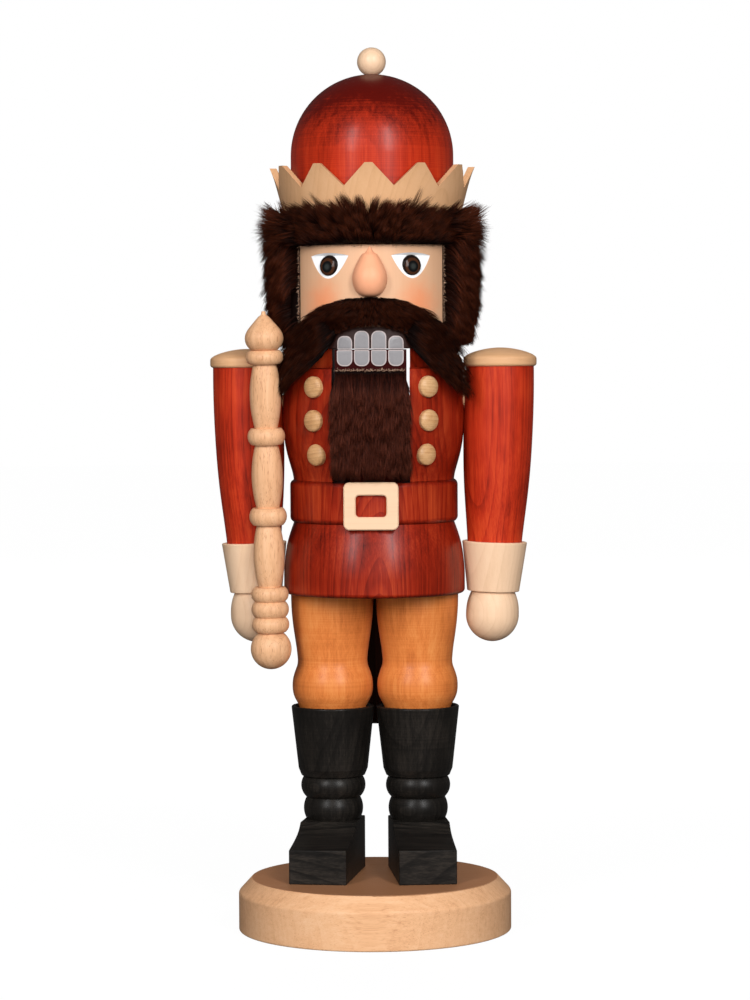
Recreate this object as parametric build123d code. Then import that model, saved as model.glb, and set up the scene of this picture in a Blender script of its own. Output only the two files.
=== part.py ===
from build123d import *
import math
import os

# A turned wooden nutcracker figure: a bearded king with a crown and a sceptre, standing on a round base.
# Millimetres. The figure faces -Y, +X is its left side, +Z is up.
# The origin is the middle of the base's underside. Heights in this file are above the gauge plane that the turner
# marks on the base's wall, and write() lifts every part by UNDERSIDE's depth, which puts the underside at zero.

os.makedirs("parts", exist_ok=True)

# Driving dimensions
FIGURE_Y = 16.8          # the turned body's axis stands this far behind the base's centre
FIT = 0.06               # radial clearance of the jaw on its pin
SOFT_GAP = 0.35          # how far the fur stays off the wood

UNDERSIDE = -1.7
BASE_R = 60.4
BASE_WALL = 15.2
BASE_TOP = 21.6
BASE_BEVEL = 5.9

LEG_X = 19.0
FOOT_WIDTH = 25.4
FOOT_FRONT = 43.3        # toe, ahead of the leg's axis
FOOT_BACK = 10.5         # heel, behind the leg's axis
FOOT_TOE_HEIGHT = 15.1
FOOT_FLAT = 13.8         # the ankle's flat reaches this far ahead of the leg's axis
FOOT_TOE_OUT = 6.85
ANKLE_TOP = 45.0
BOOT_RIM = 95.9
BOOT_RIM_R = 18.6
BOOT_ANKLE_R = 15.5
BOOT_CUP_FLOOR = 88.2

COAT_BOTTOM = 146.4
COAT_HEM_R = 40.4
BELT_LOW = 178.3
BELT_HIGH = 197.2
BELT_R = 37.4
WAIST_R = 35.8
CHEST_R = 40.4
SHOULDER_LEDGE = 247.0
NECK_R = 33.0
MOUTH_Z = 255.3          # underside of the head block, the roof of the mouth

SLOT_WIDTH = 34.0
SLOT_FLOOR_FRONT = 196.5
SLOT_FLOOR_BACK = 214.5

HEAD_R = 36.15
HEAD_TOP = 312.0
DOME_CENTRE = 340.8
BALL_R = 6.4
BALL_Z = 382.5

CROWN_TEETH = 12
CROWN_TIP_Z = 335.6
CROWN_VALLEY_Z = 325.7
CROWN_TIP_WIDTH = 3.5
CROWN_TIP_R = 45.6
CROWN_WALL = 3.0

HINGE_Y = 10.0
HINGE_Z = 215.0
PIN_R = 2.5
LEVER_FACE_WIDTH = 31.0
LEVER_BODY_WIDTH = 27.0
LEVER_FACE_DEPTH = 10.0
HANDLE_BOTTOM = 82.5

EYE_AZIMUTH = 30.5
EYE_LEDGE_Z = 295.8
EYE_NOTCH_LOW_Z = 285.5
EYE_NOTCH_DEPTH = 1.37
EYE_LEDGE_RISE = 1.3     # the ledge slopes up and out, so its cut shows as a crescent
EYE_Z = 291.6
EYE_R = 4.55

SHOULDER_X = 56.5
SHOULDER_Z = 247.0
ARM_TILT = 2.0

SCEPTRE_LOW = Vector(-45.2, -1.0, 113.8)
SCEPTRE_LENGTH = 158.3
SCEPTRE_LEAN = 2.6       # forwards, degrees
SCEPTRE_TILT = 0.72      # outwards, degrees
SCEPTRE_GRIP = 23.5      # height of the hand above the sceptre's lower end

DOWEL_R = 3.0
SIDES = {"left": 1, "right": -1}


def turned(*outline):
    """A solid turned about Z. The outline's edges are drawn in the XZ plane, from the axis up and back to the axis."""
    line = Curve() + list(outline)
    closing = Line(outline[-1] @ 1, outline[0] @ 0)
    return revolve(Plane.XZ * make_face(line + closing), Axis.Z)


def disc_outline(bottom, top, low_r, high_r, low_round, high_round):
    """An outline for a plain turned disc or taper with its two edges rounded."""
    points = [(0, bottom), (low_r, bottom), (high_r, top), (0, top)]
    return FilletPolyline(*points, radius=[low_round, high_round])


def ring_bulge(low, high, root_low, crest, root_high):
    """The rounded outline of one turned ring."""
    return ThreePointArc((root_low, low), (crest, (low + high) / 2), (root_high, high))


def on_figure(shape):
    return Pos(0, FIGURE_Y, 0) * shape


def front_extrusion(outline, width):
    """Extrudes an outline of (y, z) points along X, centred on X = 0."""
    face = make_face(Plane.YZ * outline)
    return extrude(face, width / 2, both=True)


def dowel(x, y, low, high, radius=DOWEL_R):
    return Pos(x, y, (low + high) / 2) * Cylinder(radius, high - low)


def side_dowel(x_low, x_high, y, z, radius):
    return Pos((x_low + x_high) / 2, y, z) * Rot(0, 90, 0) * Cylinder(radius, x_high - x_low)


# Base and feet

SCREW_HEAD_R = 3.9
SCREW_SHANK_R = 1.9
SCREW_SUNK = 0.6
SCREW_CONE = 2.2
SCREW_POINT = 4.0
SCREW_TIP = 38.0
SCREW_SLOT = 0.9
SCREW_SLOT_DEPTH = 0.9


def foot_screw(side):
    """A countersunk wood screw, driven up through the base into the foot."""
    outline = Polyline(
        (0, SCREW_SUNK), (SCREW_HEAD_R, SCREW_SUNK), (SCREW_SHANK_R, SCREW_SUNK + SCREW_CONE),
        (SCREW_SHANK_R, SCREW_TIP - SCREW_POINT), (0, SCREW_TIP),
    )
    slot = Box(2 * SCREW_HEAD_R, SCREW_SLOT, 2 * SCREW_SLOT_DEPTH)
    return Pos(side * LEG_X, FIGURE_Y, UNDERSIDE) * (turned(outline) - Pos(0, 0, SCREW_SUNK) * slot)


def screw_hole(side):
    outline = Polyline(
        (0, -1), (SCREW_HEAD_R, -1), (SCREW_HEAD_R, SCREW_SUNK), (SCREW_SHANK_R, SCREW_SUNK + SCREW_CONE),
        (SCREW_SHANK_R, SCREW_TIP - SCREW_POINT), (0, SCREW_TIP),
    )
    return Pos(side * LEG_X, FIGURE_Y, UNDERSIDE) * turned(outline)


def base_plate(holes):
    points = [
        (0, UNDERSIDE), (BASE_R, UNDERSIDE), (BASE_R, BASE_WALL), (BASE_R - BASE_BEVEL, BASE_TOP), (0, BASE_TOP),
    ]
    return turned(FilletPolyline(*points, radius=[0.8, 2.2, 1.2])) - holes


def ankle_dowel(side):
    return dowel(side * LEG_X, FIGURE_Y, ANKLE_TOP - 5.5, ANKLE_TOP + 14)


def foot(side, holes):
    """A block foot: flat under the ankle, then a hollow curve down to the toe."""
    top = Line((FOOT_BACK, ANKLE_TOP), (-FOOT_FLAT, ANKLE_TOP))
    hollow = Spline(
        (-FOOT_FLAT, ANKLE_TOP),
        (-FOOT_FLAT - 6.2, ANKLE_TOP - 3.5),
        (-FOOT_FLAT - 14.5, ANKLE_TOP - 5.7),
        (-FOOT_FRONT, BASE_TOP + FOOT_TOE_HEIGHT),
        tangents=[(-1, -0.85), (-1, -0.17)],
    )
    rest = Polyline(
        (-FOOT_FRONT, BASE_TOP + FOOT_TOE_HEIGHT), (-FOOT_FRONT, BASE_TOP), (FOOT_BACK, BASE_TOP),
        (FOOT_BACK, ANKLE_TOP),
    )
    block = front_extrusion(Curve() + [top, hollow, rest], FOOT_WIDTH)
    block = fillet(block.edges(), 0.5)
    return Pos(side * LEG_X, FIGURE_Y, 0) * Rot(0, 0, side * FOOT_TOE_OUT) * block - holes


# Boots, legs

def boot():
    """A turned boot: two rings at the ankle and a straight flared cup that the leg stands in."""
    valley, cup_foot = 54.8, 64.4
    outline = [
        Line((0, ANKLE_TOP), (12.0, ANKLE_TOP)),
        ring_bulge(ANKLE_TOP, valley, 12.0, 13.3, 12.0),
        ring_bulge(valley, cup_foot, 12.0, 14.4, 13.0),
        FilletPolyline(
            (13.0, cup_foot), (14.2, cup_foot + 0.2), (BOOT_ANKLE_R, cup_foot + 3.4), (BOOT_RIM_R, BOOT_RIM),
            (BOOT_RIM_R - 1.6, BOOT_RIM), (BOOT_RIM_R - 2.2, BOOT_RIM - 1.5), (BOOT_RIM_R - 2.4, BOOT_CUP_FLOOR),
            (0, BOOT_CUP_FLOOR), radius=[0.5, 1.6, 0.7, 0.5, 1.0, 0],
        ),
    ]
    return turned(*outline)


def knee_dowel(side):
    return dowel(side * LEG_X, FIGURE_Y, BOOT_CUP_FLOOR - 14, BOOT_CUP_FLOOR + 16)


def hip_dowel(side):
    return dowel(side * LEG_X, FIGURE_Y, COAT_BOTTOM - 15, COAT_BOTTOM + 15)


def leg():
    """A turned trouser leg: a tapering thigh with a break above the knee, which bulges over the boot's rim."""
    break_r, break_z = 15.55, 116.4
    outline = [
        Line((0, BOOT_CUP_FLOOR), (13.6, BOOT_CUP_FLOOR)),
        Spline(
            (13.6, BOOT_CUP_FLOOR), (14.9, 95.4), (17.3, 100.2), (18.0, 105.0), (17.4, 109.4), (16.1, 113.1),
            (break_r, break_z), tangents=[(0.05, 1), (-0.05, 1)],
        ),
        Spline(
            (break_r, break_z), (16.1, 121.8), (17.3, 129.9), (18.2, 138.8), (18.4, COAT_BOTTOM),
            tangents=[(0.08, 1), (0, 1)],
        ),
        Line((18.4, COAT_BOTTOM), (0, COAT_BOTTOM)),
    ]
    return turned(*outline)


# Torso, with the slot that the jaw lever swings in

def hinge_pin():
    return side_dowel(-38.4, 38.4, HINGE_Y, HINGE_Z, PIN_R)


def lever_slot():
    """The slot runs right through the torso. Its floor rises towards the back, under the lever's arm."""
    outline = Polyline(
        (-60, SLOT_FLOOR_FRONT), (0, SLOT_FLOOR_FRONT), (56, SLOT_FLOOR_BACK), (80, SLOT_FLOOR_BACK),
        (80, MOUTH_Z + 1), (-60, MOUTH_Z + 1), close=True,
    )
    return front_extrusion(outline, SLOT_WIDTH)


def torso(holes):
    outline = [
        FilletPolyline((0, COAT_BOTTOM), (COAT_HEM_R, COAT_BOTTOM), (COAT_HEM_R, 155.0), radius=[1.8]),
        Spline(
            (COAT_HEM_R, 155.0), (39.9, 162.0), (38.7, 169.3), (37.5, 173.4), (WAIST_R, BELT_LOW),
            tangents=[(0, 1), (-0.35, 1)],
        ),
        FilletPolyline(
            (WAIST_R, BELT_LOW), (BELT_R, BELT_LOW + 1.0), (BELT_R, BELT_HIGH - 1.0), (WAIST_R, BELT_HIGH),
            radius=[2.6, 2.6],
        ),
        Spline(
            (WAIST_R, BELT_HIGH), (36.1, 199.4), (37.4, 204.2), (39.3, 211.8), (40.2, 219.0), (CHEST_R, 227.0),
            (40.1, 238.0), (39.2, SHOULDER_LEDGE - 0.6), tangents=[(0.05, 1), (-0.25, 1)],
        ),
        Polyline(
            (39.2, SHOULDER_LEDGE - 0.6), (38.4, SHOULDER_LEDGE), (NECK_R, SHOULDER_LEDGE), (NECK_R, MOUTH_Z),
            (0, MOUTH_Z),
        ),
    ]
    return on_figure(turned(*outline)) - lever_slot() - holes


BUCKLE_WIDTH = 24.0
BUCKLE_HEIGHT = 20.8
BUCKLE_WINDOW = (13.4, 9.5)
BUCKLE_FRONT = FIGURE_Y - BELT_R - 2.0
BUCKLE_DEPTH = 6.0
BUCKLE_DROP = 1.0        # it hangs a little below the belt's middle


def belt_buckle(body):
    plate = RectangleRounded(BUCKLE_WIDTH, BUCKLE_HEIGHT, 2.6) - RectangleRounded(*BUCKLE_WINDOW, 1.6)
    plate = extrude(plate, BUCKLE_DEPTH)
    plate = chamfer(plate.faces().sort_by(Axis.Z)[-1].edges(), 0.45)
    middle = (BELT_LOW + BELT_HIGH) / 2 - BUCKLE_DROP
    return Pos(0, BUCKLE_FRONT + BUCKLE_DEPTH, middle) * Rot(90, 0, 0) * plate - body


BUTTON_R = 4.75
BUTTON_HEIGHT = 3.0
BUTTON_AZIMUTH = 38.0
BUTTON_SEATS = [(209.0, 38.4), (223.9, 40.3), (238.6, 40.15)]   # height, and the coat's radius there


def coat_buttons(body):
    """Six domed buttons in two rows, each cut to sit on the coat."""
    dome = turned(
        Line((0, -1.6), (BUTTON_R, -1.6)),
        Line((BUTTON_R, -1.6), (BUTTON_R, 0.9)),
        Spline((BUTTON_R, 0.9), (3.6, 2.3), (0, BUTTON_HEIGHT), tangents=[(0, 1), (-1, 0)]),
    )
    dome = Rot(90, 0, 0) * dome
    buttons = []
    for side in SIDES.values():
        for height, radius in BUTTON_SEATS:
            place = Pos(0, FIGURE_Y, height) * Rot(0, 0, side * BUTTON_AZIMUTH) * Pos(0, -radius, 0)
            buttons.append((place * dome - body).solids().sort_by(SortBy.VOLUME)[-1])
    return buttons


# Jaw

LEVER_TOP = MOUTH_Z - 0.35
LEVER_FRONT_Y = -19.5
LEVER_BACK_Y = HINGE_Y + 58.0
HANDLE_THICKNESS = 9.5


def jaw_lever():
    """One board: the jaw's face in front, an arm through the torso, and the handle that hangs behind."""
    pin_y, pin_z = HINGE_Y, HINGE_Z
    outline = FilletPolyline(
        (LEVER_FRONT_Y, LEVER_TOP),
        (LEVER_FRONT_Y, pin_z - 1.3),
        (pin_y - 6.0, pin_z - 9.0),
        (pin_y + 8.0, pin_z - 9.0),
        (pin_y + 46.0, pin_z + 4.2),
        (LEVER_BACK_Y - HANDLE_THICKNESS, pin_z - 1.0),
        (LEVER_BACK_Y - HANDLE_THICKNESS, HANDLE_BOTTOM),
        (LEVER_BACK_Y, HANDLE_BOTTOM),
        (LEVER_BACK_Y, pin_z + 8.0),
        (pin_y + 48.0, pin_z + 15.0),
        (pin_y + 2.0, LEVER_TOP),
        radius=[0.8, 1.0, 6.0, 6.0, 1.5, 1.5, 2.0, 3.0, 5.0, 3.0, 3.0],
        close=True,
    )
    board = front_extrusion(outline, LEVER_FACE_WIDTH)
    relief = Pos(0, LEVER_FRONT_Y + LEVER_FACE_DEPTH + 50, HINGE_Z) * Box(LEVER_FACE_WIDTH, 100, 300)
    relief -= Pos(0, LEVER_FRONT_Y + LEVER_FACE_DEPTH + 50, HINGE_Z) * Box(LEVER_BODY_WIDTH, 100, 300)
    bore = side_dowel(-LEVER_FACE_WIDTH, LEVER_FACE_WIDTH, pin_y, pin_z, PIN_R + FIT)
    return board - relief - bore


def beard():
    """The beard's bulk: fur glued to the jaw's face, which hangs down in front of the slot."""
    outline = Polyline(
        (LEVER_FRONT_Y - SOFT_GAP, 245.5), (LEVER_FRONT_Y - SOFT_GAP, 199.2), (LEVER_FRONT_Y - 4.2, 199.2),
        (LEVER_FRONT_Y - 4.6, 222.0), (LEVER_FRONT_Y - 2.4, 245.5), close=True,
    )
    return front_extrusion(outline, LEVER_FACE_WIDTH - 0.6)


# Head

def at_azimuth(shape, azimuth, radius, height):
    """Puts a shape modelled at the origin, facing -Y, on the head's wall."""
    return Pos(0, FIGURE_Y, height) * Rot(0, 0, azimuth) * Pos(0, -radius, 0) * shape


def eye_notch(side):
    """A wedge cut: a short ledge above, and a long slope that runs out to the wall below."""
    drop = EYE_LEDGE_Z - EYE_NOTCH_LOW_Z
    outline = Polyline(
        (0, -drop), (EYE_NOTCH_DEPTH, 0), (0, EYE_LEDGE_RISE), (-5, EYE_LEDGE_RISE), (-5, -drop), close=True
    )
    return at_azimuth(front_extrusion(outline, 40), side * EYE_AZIMUTH, HEAD_R, EYE_LEDGE_Z)


EYE_SEAT = 3.0


def eye_axis(side, shape):
    """The bead faces straight out along the notch's sloping face."""
    slope = math.degrees(math.atan2(EYE_NOTCH_DEPTH, EYE_LEDGE_Z - EYE_NOTCH_LOW_Z))
    return at_azimuth(Rot(-slope, 0, 0) * shape, side * EYE_AZIMUTH, HEAD_R - 0.75, EYE_Z)


def eye_bead(side):
    bead = turned(
        Line((0, -EYE_SEAT), (EYE_R, -EYE_SEAT)),
        Line((EYE_R, -EYE_SEAT), (EYE_R, 0.25)),
        Spline((EYE_R, 0.25), (3.3, 1.35), (0, 1.9), tangents=[(-0.2, 1), (-1, 0)]),
    )
    return eye_axis(side, Rot(90, 0, 0) * bead)


def eye_hole(side):
    hole = Pos(0, 0, (4.0 - EYE_SEAT) / 2) * Cylinder(EYE_R, EYE_SEAT + 4.0)
    return eye_axis(side, Rot(90, 0, 0) * hole)


def neck_dowel(side):
    return dowel(side * 24.5, FIGURE_Y + 6, MOUTH_Z - 16, MOUTH_Z + 14)


def hat_dowel():
    return dowel(0, FIGURE_Y, HEAD_TOP - 12, HEAD_TOP + 12, 4.0)


def head_block(holes):
    return on_figure(turned(disc_outline(MOUTH_Z, HEAD_TOP, HEAD_R, HEAD_R, 0.4, 0.2))) - holes


def nose(head):
    """A turned drop, half sunk in the face."""
    outline = Spline(
        (0, 277.7), (5.0, 279.1), (7.6, 285.2), (6.1, 291.2), (2.9, 296.6), (0.05, 299.8),
        tangents=[(1, 0), (-0.62, 1)],
    )
    drop = Pos(0, FIGURE_Y - HEAD_R - 0.6, 0) * turned(outline)
    return (drop - head).solids().sort_by(SortBy.VOLUME)[-1]


def hat_dome(holes):
    top = DOME_CENTRE + HEAD_R
    outline = [
        Polyline((0, HEAD_TOP), (HEAD_R, HEAD_TOP), (HEAD_R, DOME_CENTRE)),
        ThreePointArc(
            (HEAD_R, DOME_CENTRE), (HEAD_R * math.sin(math.pi / 4), DOME_CENTRE + HEAD_R * math.cos(math.pi / 4)),
            (0, top),
        ),
    ]
    return on_figure(turned(*outline)) - holes


def cap_ball():
    """The knob on top of the hat, with the peg that holds it."""
    return on_figure(Pos(0, 0, BALL_Z) * Sphere(BALL_R) + dowel(0, 0, BALL_Z - 14, BALL_Z, 1.8))


def ball_hole():
    return on_figure(dowel(0, 0, BALL_Z - 14, BALL_Z, 1.8) + Pos(0, 0, BALL_Z) * Sphere(BALL_R))


def crown_ring():
    """A flared ring that sits on the hat's foot, notched into twelve points."""
    outer = Spline((39.2, HEAD_TOP), (41.0, 320.7), (CROWN_TIP_R, CROWN_TIP_Z), tangents=[(0.1, 1), (0.45, 1)])
    inner = Spline(
        (CROWN_TIP_R - CROWN_WALL, CROWN_TIP_Z), (38.2, 321.5), (HEAD_R, HEAD_TOP), tangents=[(-0.45, -1), (-0.05, -1)]
    )
    wall = Curve() + [outer, Line(outer @ 1, inner @ 0), inner, Line(inner @ 1, outer @ 0)]
    ring = revolve(Plane.XZ * make_face(wall), Axis.Z)
    pitch = 2 * math.pi * CROWN_TIP_R / CROWN_TEETH
    half_gap = (pitch - CROWN_TIP_WIDTH) / 2
    notch_line = FilletPolyline(
        (0, CROWN_VALLEY_Z), (half_gap, CROWN_TIP_Z), (half_gap + 1.2, CROWN_TIP_Z + 3),
        (-half_gap - 1.2, CROWN_TIP_Z + 3), (-half_gap, CROWN_TIP_Z), radius=[0.6, 1.6, 0, 0, 1.6], close=True,
    )
    notch = extrude(make_face(Plane.XZ * notch_line), 60, dir=(0, -1, 0))
    for tooth in range(CROWN_TEETH):
        ring -= Rot(0, 0, (tooth + 0.5) * 360 / CROWN_TEETH) * notch
    return on_figure(ring)


# Fur, as plain bulk solids

FACE_HALF_ANGLE = 60.0


def fur_band(points, start_azimuth, sweep):
    """Fur that wraps the head: a section turned through part of a circle, from the front round to the figure's left."""
    section = make_face(Plane.XZ * Polyline(*points, close=True))
    band = revolve(section, Axis.Z, sweep)
    return on_figure(Rot(0, 0, start_azimuth - 90) * band)


def hair_fringe():
    inner = HEAD_R + SOFT_GAP
    points = [
        (inner, 300.4), (43.0, 300.4), (46.0, 306.0), (46.0, 315.0), (44.0, 319.5), (41.4, 319.5), (39.6, 311.5),
        (inner, 311.5),
    ]
    return fur_band(points, 1 - FACE_HALF_ANGLE, 2 * FACE_HALF_ANGLE - 2)


def hair_wig(clear_of):
    inner = HEAD_R + SOFT_GAP
    points = [
        (inner, 257.0), (44.0, 257.0), (48.8, 268.0), (49.6, 290.0), (48.5, 306.0), (46.5, 315.0), (44.0, 319.5),
        (41.4, 319.5), (39.6, 311.5), (inner, 311.5),
    ]
    return fur_band(points, FACE_HALF_ANGLE, 360 - 2 * FACE_HALF_ANGLE) - clear_of


def moustache():
    """An arch over the mouth, with ends that droop in front of the coat."""
    half = [
        (0, 276.6), (14, 274.5), (26, 268.5), (34, 262), (39, 252), (37.5, 241), (33, 239.5), (27, 246),
        (19.5, 255.5), (16.5, 263.6), (0, 264.6),
    ]
    mirrored = [(-x, z) for x, z in reversed(half) if x > 0]
    arch = extrude(make_face(Plane.XZ * Polyline(*half, *mirrored, close=True)), 60, dir=(0, -1, 0))
    middle = (MOUTH_Z + 270) / 2
    shell = Pos(0, 0, middle) * (Cylinder(46, 60) - Cylinder(HEAD_R + SOFT_GAP, 60))
    coat = Pos(0, 0, MOUTH_Z + 0.4 - 20) * Cylinder(CHEST_R + SOFT_GAP, 40)
    return on_figure(arch & shell) - on_figure(coat)


# Arms. Each arm is modelled upright with the shoulder at the origin, then hung with a slight inward tilt.

CAP_LIFT = 0.2           # the cap's underside, above the shoulder
SLEEVE_SPARE = 2.0       # the sleeve is turned this much too long, then cut level under its cap
SLEEVE_LENGTH = 84.0
CUFF_TOP = -77.9
CUFF_BOTTOM = -100.1
CUFF_TOP_R = 14.5
CUFF_BOTTOM_R = 11.6
HAND_LOW = -122.7


def hung(side, shape):
    return Pos(side * SHOULDER_X, FIGURE_Y, SHOULDER_Z) * Rot(0, side * ARM_TILT, 0) * shape


def shoulder_cap(side):
    cap = turned(
        FilletPolyline((0, CAP_LIFT), (16.3, CAP_LIFT), (16.3, 4.2), (14.6, 5.4), radius=[1.3, 1.6]),
        Spline((14.6, 5.4), (8.0, 7.6), (0, 8.5), tangents=[(-1, 0.5), (-1, 0)]),
    )
    return Pos(side * SHOULDER_X, FIGURE_Y, SHOULDER_Z) * cap


def sleeve(side, cutters):
    shape = turned(
        Line((0, -SLEEVE_LENGTH), (11.75, -SLEEVE_LENGTH)),
        Spline((11.75, -SLEEVE_LENGTH), (12.1, -78.5), (14.35, -54.0), (15.4, -31.0), (15.0, SLEEVE_SPARE)),
        Line((15.0, SLEEVE_SPARE), (0, SLEEVE_SPARE)),
    )
    above = Align.CENTER, Align.CENTER, Align.MIN
    ledge = Pos(side * SHOULDER_X, FIGURE_Y, SHOULDER_Z + CAP_LIFT) * Cylinder(30, 20, align=above)
    return hung(side, shape) - ledge - cutters


def cuff_blank():
    return turned(FilletPolyline(
        (0, CUFF_BOTTOM), (CUFF_BOTTOM_R, CUFF_BOTTOM), (CUFF_TOP_R, CUFF_TOP), (CUFF_TOP_R - 2.3, CUFF_TOP),
        (11.75, -SLEEVE_LENGTH), (0, -SLEEVE_LENGTH), radius=[0.5, 0.5, 0.3, 0],
    ))


def cuff(side, cutters):
    return hung(side, cuff_blank()) - cutters


def hand(side, holes):
    shape = turned(
        ThreePointArc((0, HAND_LOW), (8.3, -119.2), (11.8, -110.9)),
        Spline((11.8, -110.9), (11.2, -104.5), (9.6, CUFF_BOTTOM), tangents=[(0, 1), (-0.45, 1)]),
        Line((9.6, CUFF_BOTTOM), (0, CUFF_BOTTOM)),
    )
    return hung(side, shape) - holes


def wrist_dowel(side):
    return hung(side, dowel(0, 0, CUFF_BOTTOM - 8, -SLEEVE_LENGTH + 12))


def shoulder_dowel(side):
    inner, outer = 28.0, 52.0
    return side_dowel(*sorted((side * inner, side * outer)), FIGURE_Y, 232.0, DOWEL_R)


# Sceptre

def sceptre_place(shape):
    return Pos(*SCEPTRE_LOW) * Rot(SCEPTRE_LEAN, -SCEPTRE_TILT, 0) * shape


def sceptre_outline():
    """From the ball at the foot to the onion's tip: rings on three long beads. Heights are above the sceptre's foot."""
    ball_r = 9.05
    rings = [(16.6, 23.2), (23.2, 30.2), (30.2, 36.6), (64.2, 71.7), (99.7, 106.9), (135.2, 141.2)]
    crest = 8.3
    neck = 5.0
    onion = 8.35
    tip = 0.9
    ball_top = math.sqrt(ball_r**2 - (rings[0][0] - ball_r) ** 2)
    edges = [ThreePointArc((0, 0), (ball_r, ball_r), (ball_top, rings[0][0]))]
    for index, (low, high) in enumerate(rings):
        start = edges[-1] @ 1
        root = neck + 1.0 if index in (0, 1, 2) else neck
        if start.X < root or start.X > root:
            edges.append(Line((start.X, low), (root, low)))
        shoulder = crest - 1.6
        edges.append(Line((root, low), (shoulder, low)))
        edges.append(ThreePointArc((shoulder, low), (crest, (low + high) / 2), (shoulder, high)))
        edges.append(Line((shoulder, high), (neck, high)))
        if index + 1 < len(rings) and rings[index + 1][0] > high:
            upper = rings[index + 1][0]
            middle = (high + upper) / 2
            edges.append(Spline((neck, high), (6.9, middle), (neck, upper)))
    last = rings[-1][1]
    edges.append(Line((neck, last), (5.6, last)))
    edges.append(Spline(
        (5.6, last), (onion, 147.6), (4.4, 153.6), (1.7, 156.4), (tip, SCEPTRE_LENGTH),
        tangents=[(1, 0.7), (-0.05, 1)],
    ))
    edges.append(Line((tip, SCEPTRE_LENGTH), (0, SCEPTRE_LENGTH)))
    return edges


def hand_middle():
    return hung(SIDES["right"], Pos(0, 0, -111.0)).position


def sceptre_dowel():
    """A short peg from the sceptre's rings into the hand."""
    grip = sceptre_place(Pos(0, 0, SCEPTRE_GRIP)).position
    along = (hand_middle() - grip).normalized()
    peg = Cylinder(1.6, 14, align=(Align.CENTER, Align.CENTER, Align.MIN))
    return Plane(origin=grip + along * 3.5, z_dir=along) * peg


def write(name, shape):
    lift = Pos(0, 0, -UNDERSIDE)
    solids = [lift * solid for solid in (shape if isinstance(shape, list) else shape.solids())]
    body = solids[0] if len(solids) == 1 else Compound(children=solids)
    body.label = name
    export_step(body, f"parts/{name}.step")


both = list(SIDES.values())
screw_holes = [screw_hole(side) for side in both]
ankle_dowels = [ankle_dowel(side) for side in both]
knee_dowels = [knee_dowel(side) for side in both]
hip_dowels = [hip_dowel(side) for side in both]
neck_dowels = [neck_dowel(side) for side in both]
shoulder_dowels = [shoulder_dowel(side) for side in both]
wrist_dowels = [wrist_dowel(side) for side in both]
eyes = [eye_bead(side) for side in both]

write("base_plate", base_plate(screw_holes))
write("foot_screws", [foot_screw(side).solid() for side in both])

for index, (name, side) in enumerate(SIDES.items()):
    write(f"foot_{name}", foot(side, [screw_holes[index], ankle_dowels[index]]))
    boot_holes = [ankle_dowels[index], knee_dowels[index]]
    place = Pos(side * LEG_X, FIGURE_Y, 0)
    write(f"boot_{name}", place * boot() - boot_holes)
    write(f"leg_{name}", place * leg() - [knee_dowels[index], hip_dowels[index]])
write("ankle_dowels", ankle_dowels)
write("knee_dowels", knee_dowels)
write("hip_dowels", hip_dowels)

pin = hinge_pin()
torso_blank = torso([pin])
body = torso_blank - hip_dowels - neck_dowels - shoulder_dowels
write("torso", body)
write("belt_buckle", belt_buckle(torso_blank))
write("coat_buttons", coat_buttons(torso_blank))
write("hinge_pin", pin)
write("jaw_lever", jaw_lever())
write("beard", beard())

head_wall = on_figure(Pos(0, 0, (MOUTH_Z + HEAD_TOP) / 2) * Cylinder(HEAD_R, HEAD_TOP - MOUTH_Z))
head_cuts = neck_dowels + [hat_dowel()]
for side in both:
    head_cuts += [eye_notch(side), eye_hole(side)]
write("head_block", head_block(head_cuts))
write("neck_dowels", neck_dowels)
write("nose", nose(head_wall))
for index, name in enumerate(SIDES):
    write(f"eye_{name}", eyes[index])
write("hat_dowel", hat_dowel())
write("hat_dome", hat_dome([hat_dowel(), ball_hole()]))
write("crown_ring", crown_ring())
write("cap_ball", cap_ball())

sceptre = sceptre_place(turned(*sceptre_outline()))
sceptre_room = sceptre_place(Pos(0, 0, SCEPTRE_LENGTH / 2) * Cylinder(9.2, SCEPTRE_LENGTH + 4))
write("hair_fringe", hair_fringe())
wig = hair_wig(sceptre_room)
write("hair_wig", wig)
write("moustache", moustache() - wig - sceptre_room)

for index, (name, side) in enumerate(SIDES.items()):
    write(f"shoulder_cap_{name}", shoulder_cap(side))
    write(f"sleeve_{name}", sleeve(side, [torso_blank, shoulder_dowels[index], wrist_dowels[index]]))
    write(f"cuff_{name}", cuff(side, [wrist_dowels[index]]))
    grip_hole = [sceptre_dowel()] if name == "right" else []
    write(f"hand_{name}", hand(side, [wrist_dowels[index]] + grip_hole))
write("shoulder_dowels", shoulder_dowels)
write("wrist_dowels", wrist_dowels)
write("sceptre", sceptre - sceptre_dowel())
write("sceptre_dowel", sceptre_dowel())
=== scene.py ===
import math

import bpy
import numpy as np
from mathutils import Matrix, Vector


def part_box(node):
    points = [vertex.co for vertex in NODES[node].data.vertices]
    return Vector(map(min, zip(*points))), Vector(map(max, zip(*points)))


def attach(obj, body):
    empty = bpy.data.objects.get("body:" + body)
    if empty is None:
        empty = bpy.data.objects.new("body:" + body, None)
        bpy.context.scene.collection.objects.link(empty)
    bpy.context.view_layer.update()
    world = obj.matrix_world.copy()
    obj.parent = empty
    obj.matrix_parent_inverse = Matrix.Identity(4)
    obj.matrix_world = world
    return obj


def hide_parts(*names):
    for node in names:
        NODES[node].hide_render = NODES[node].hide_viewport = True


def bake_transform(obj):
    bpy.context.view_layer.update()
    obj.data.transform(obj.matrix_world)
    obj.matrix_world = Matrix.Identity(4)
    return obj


# The looks of a turned wooden nutcracker: stained wood, painted teeth and long-pile fur.
# Metres, in the frame's own axes: the figure faces -Y and +X is its left side.

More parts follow.
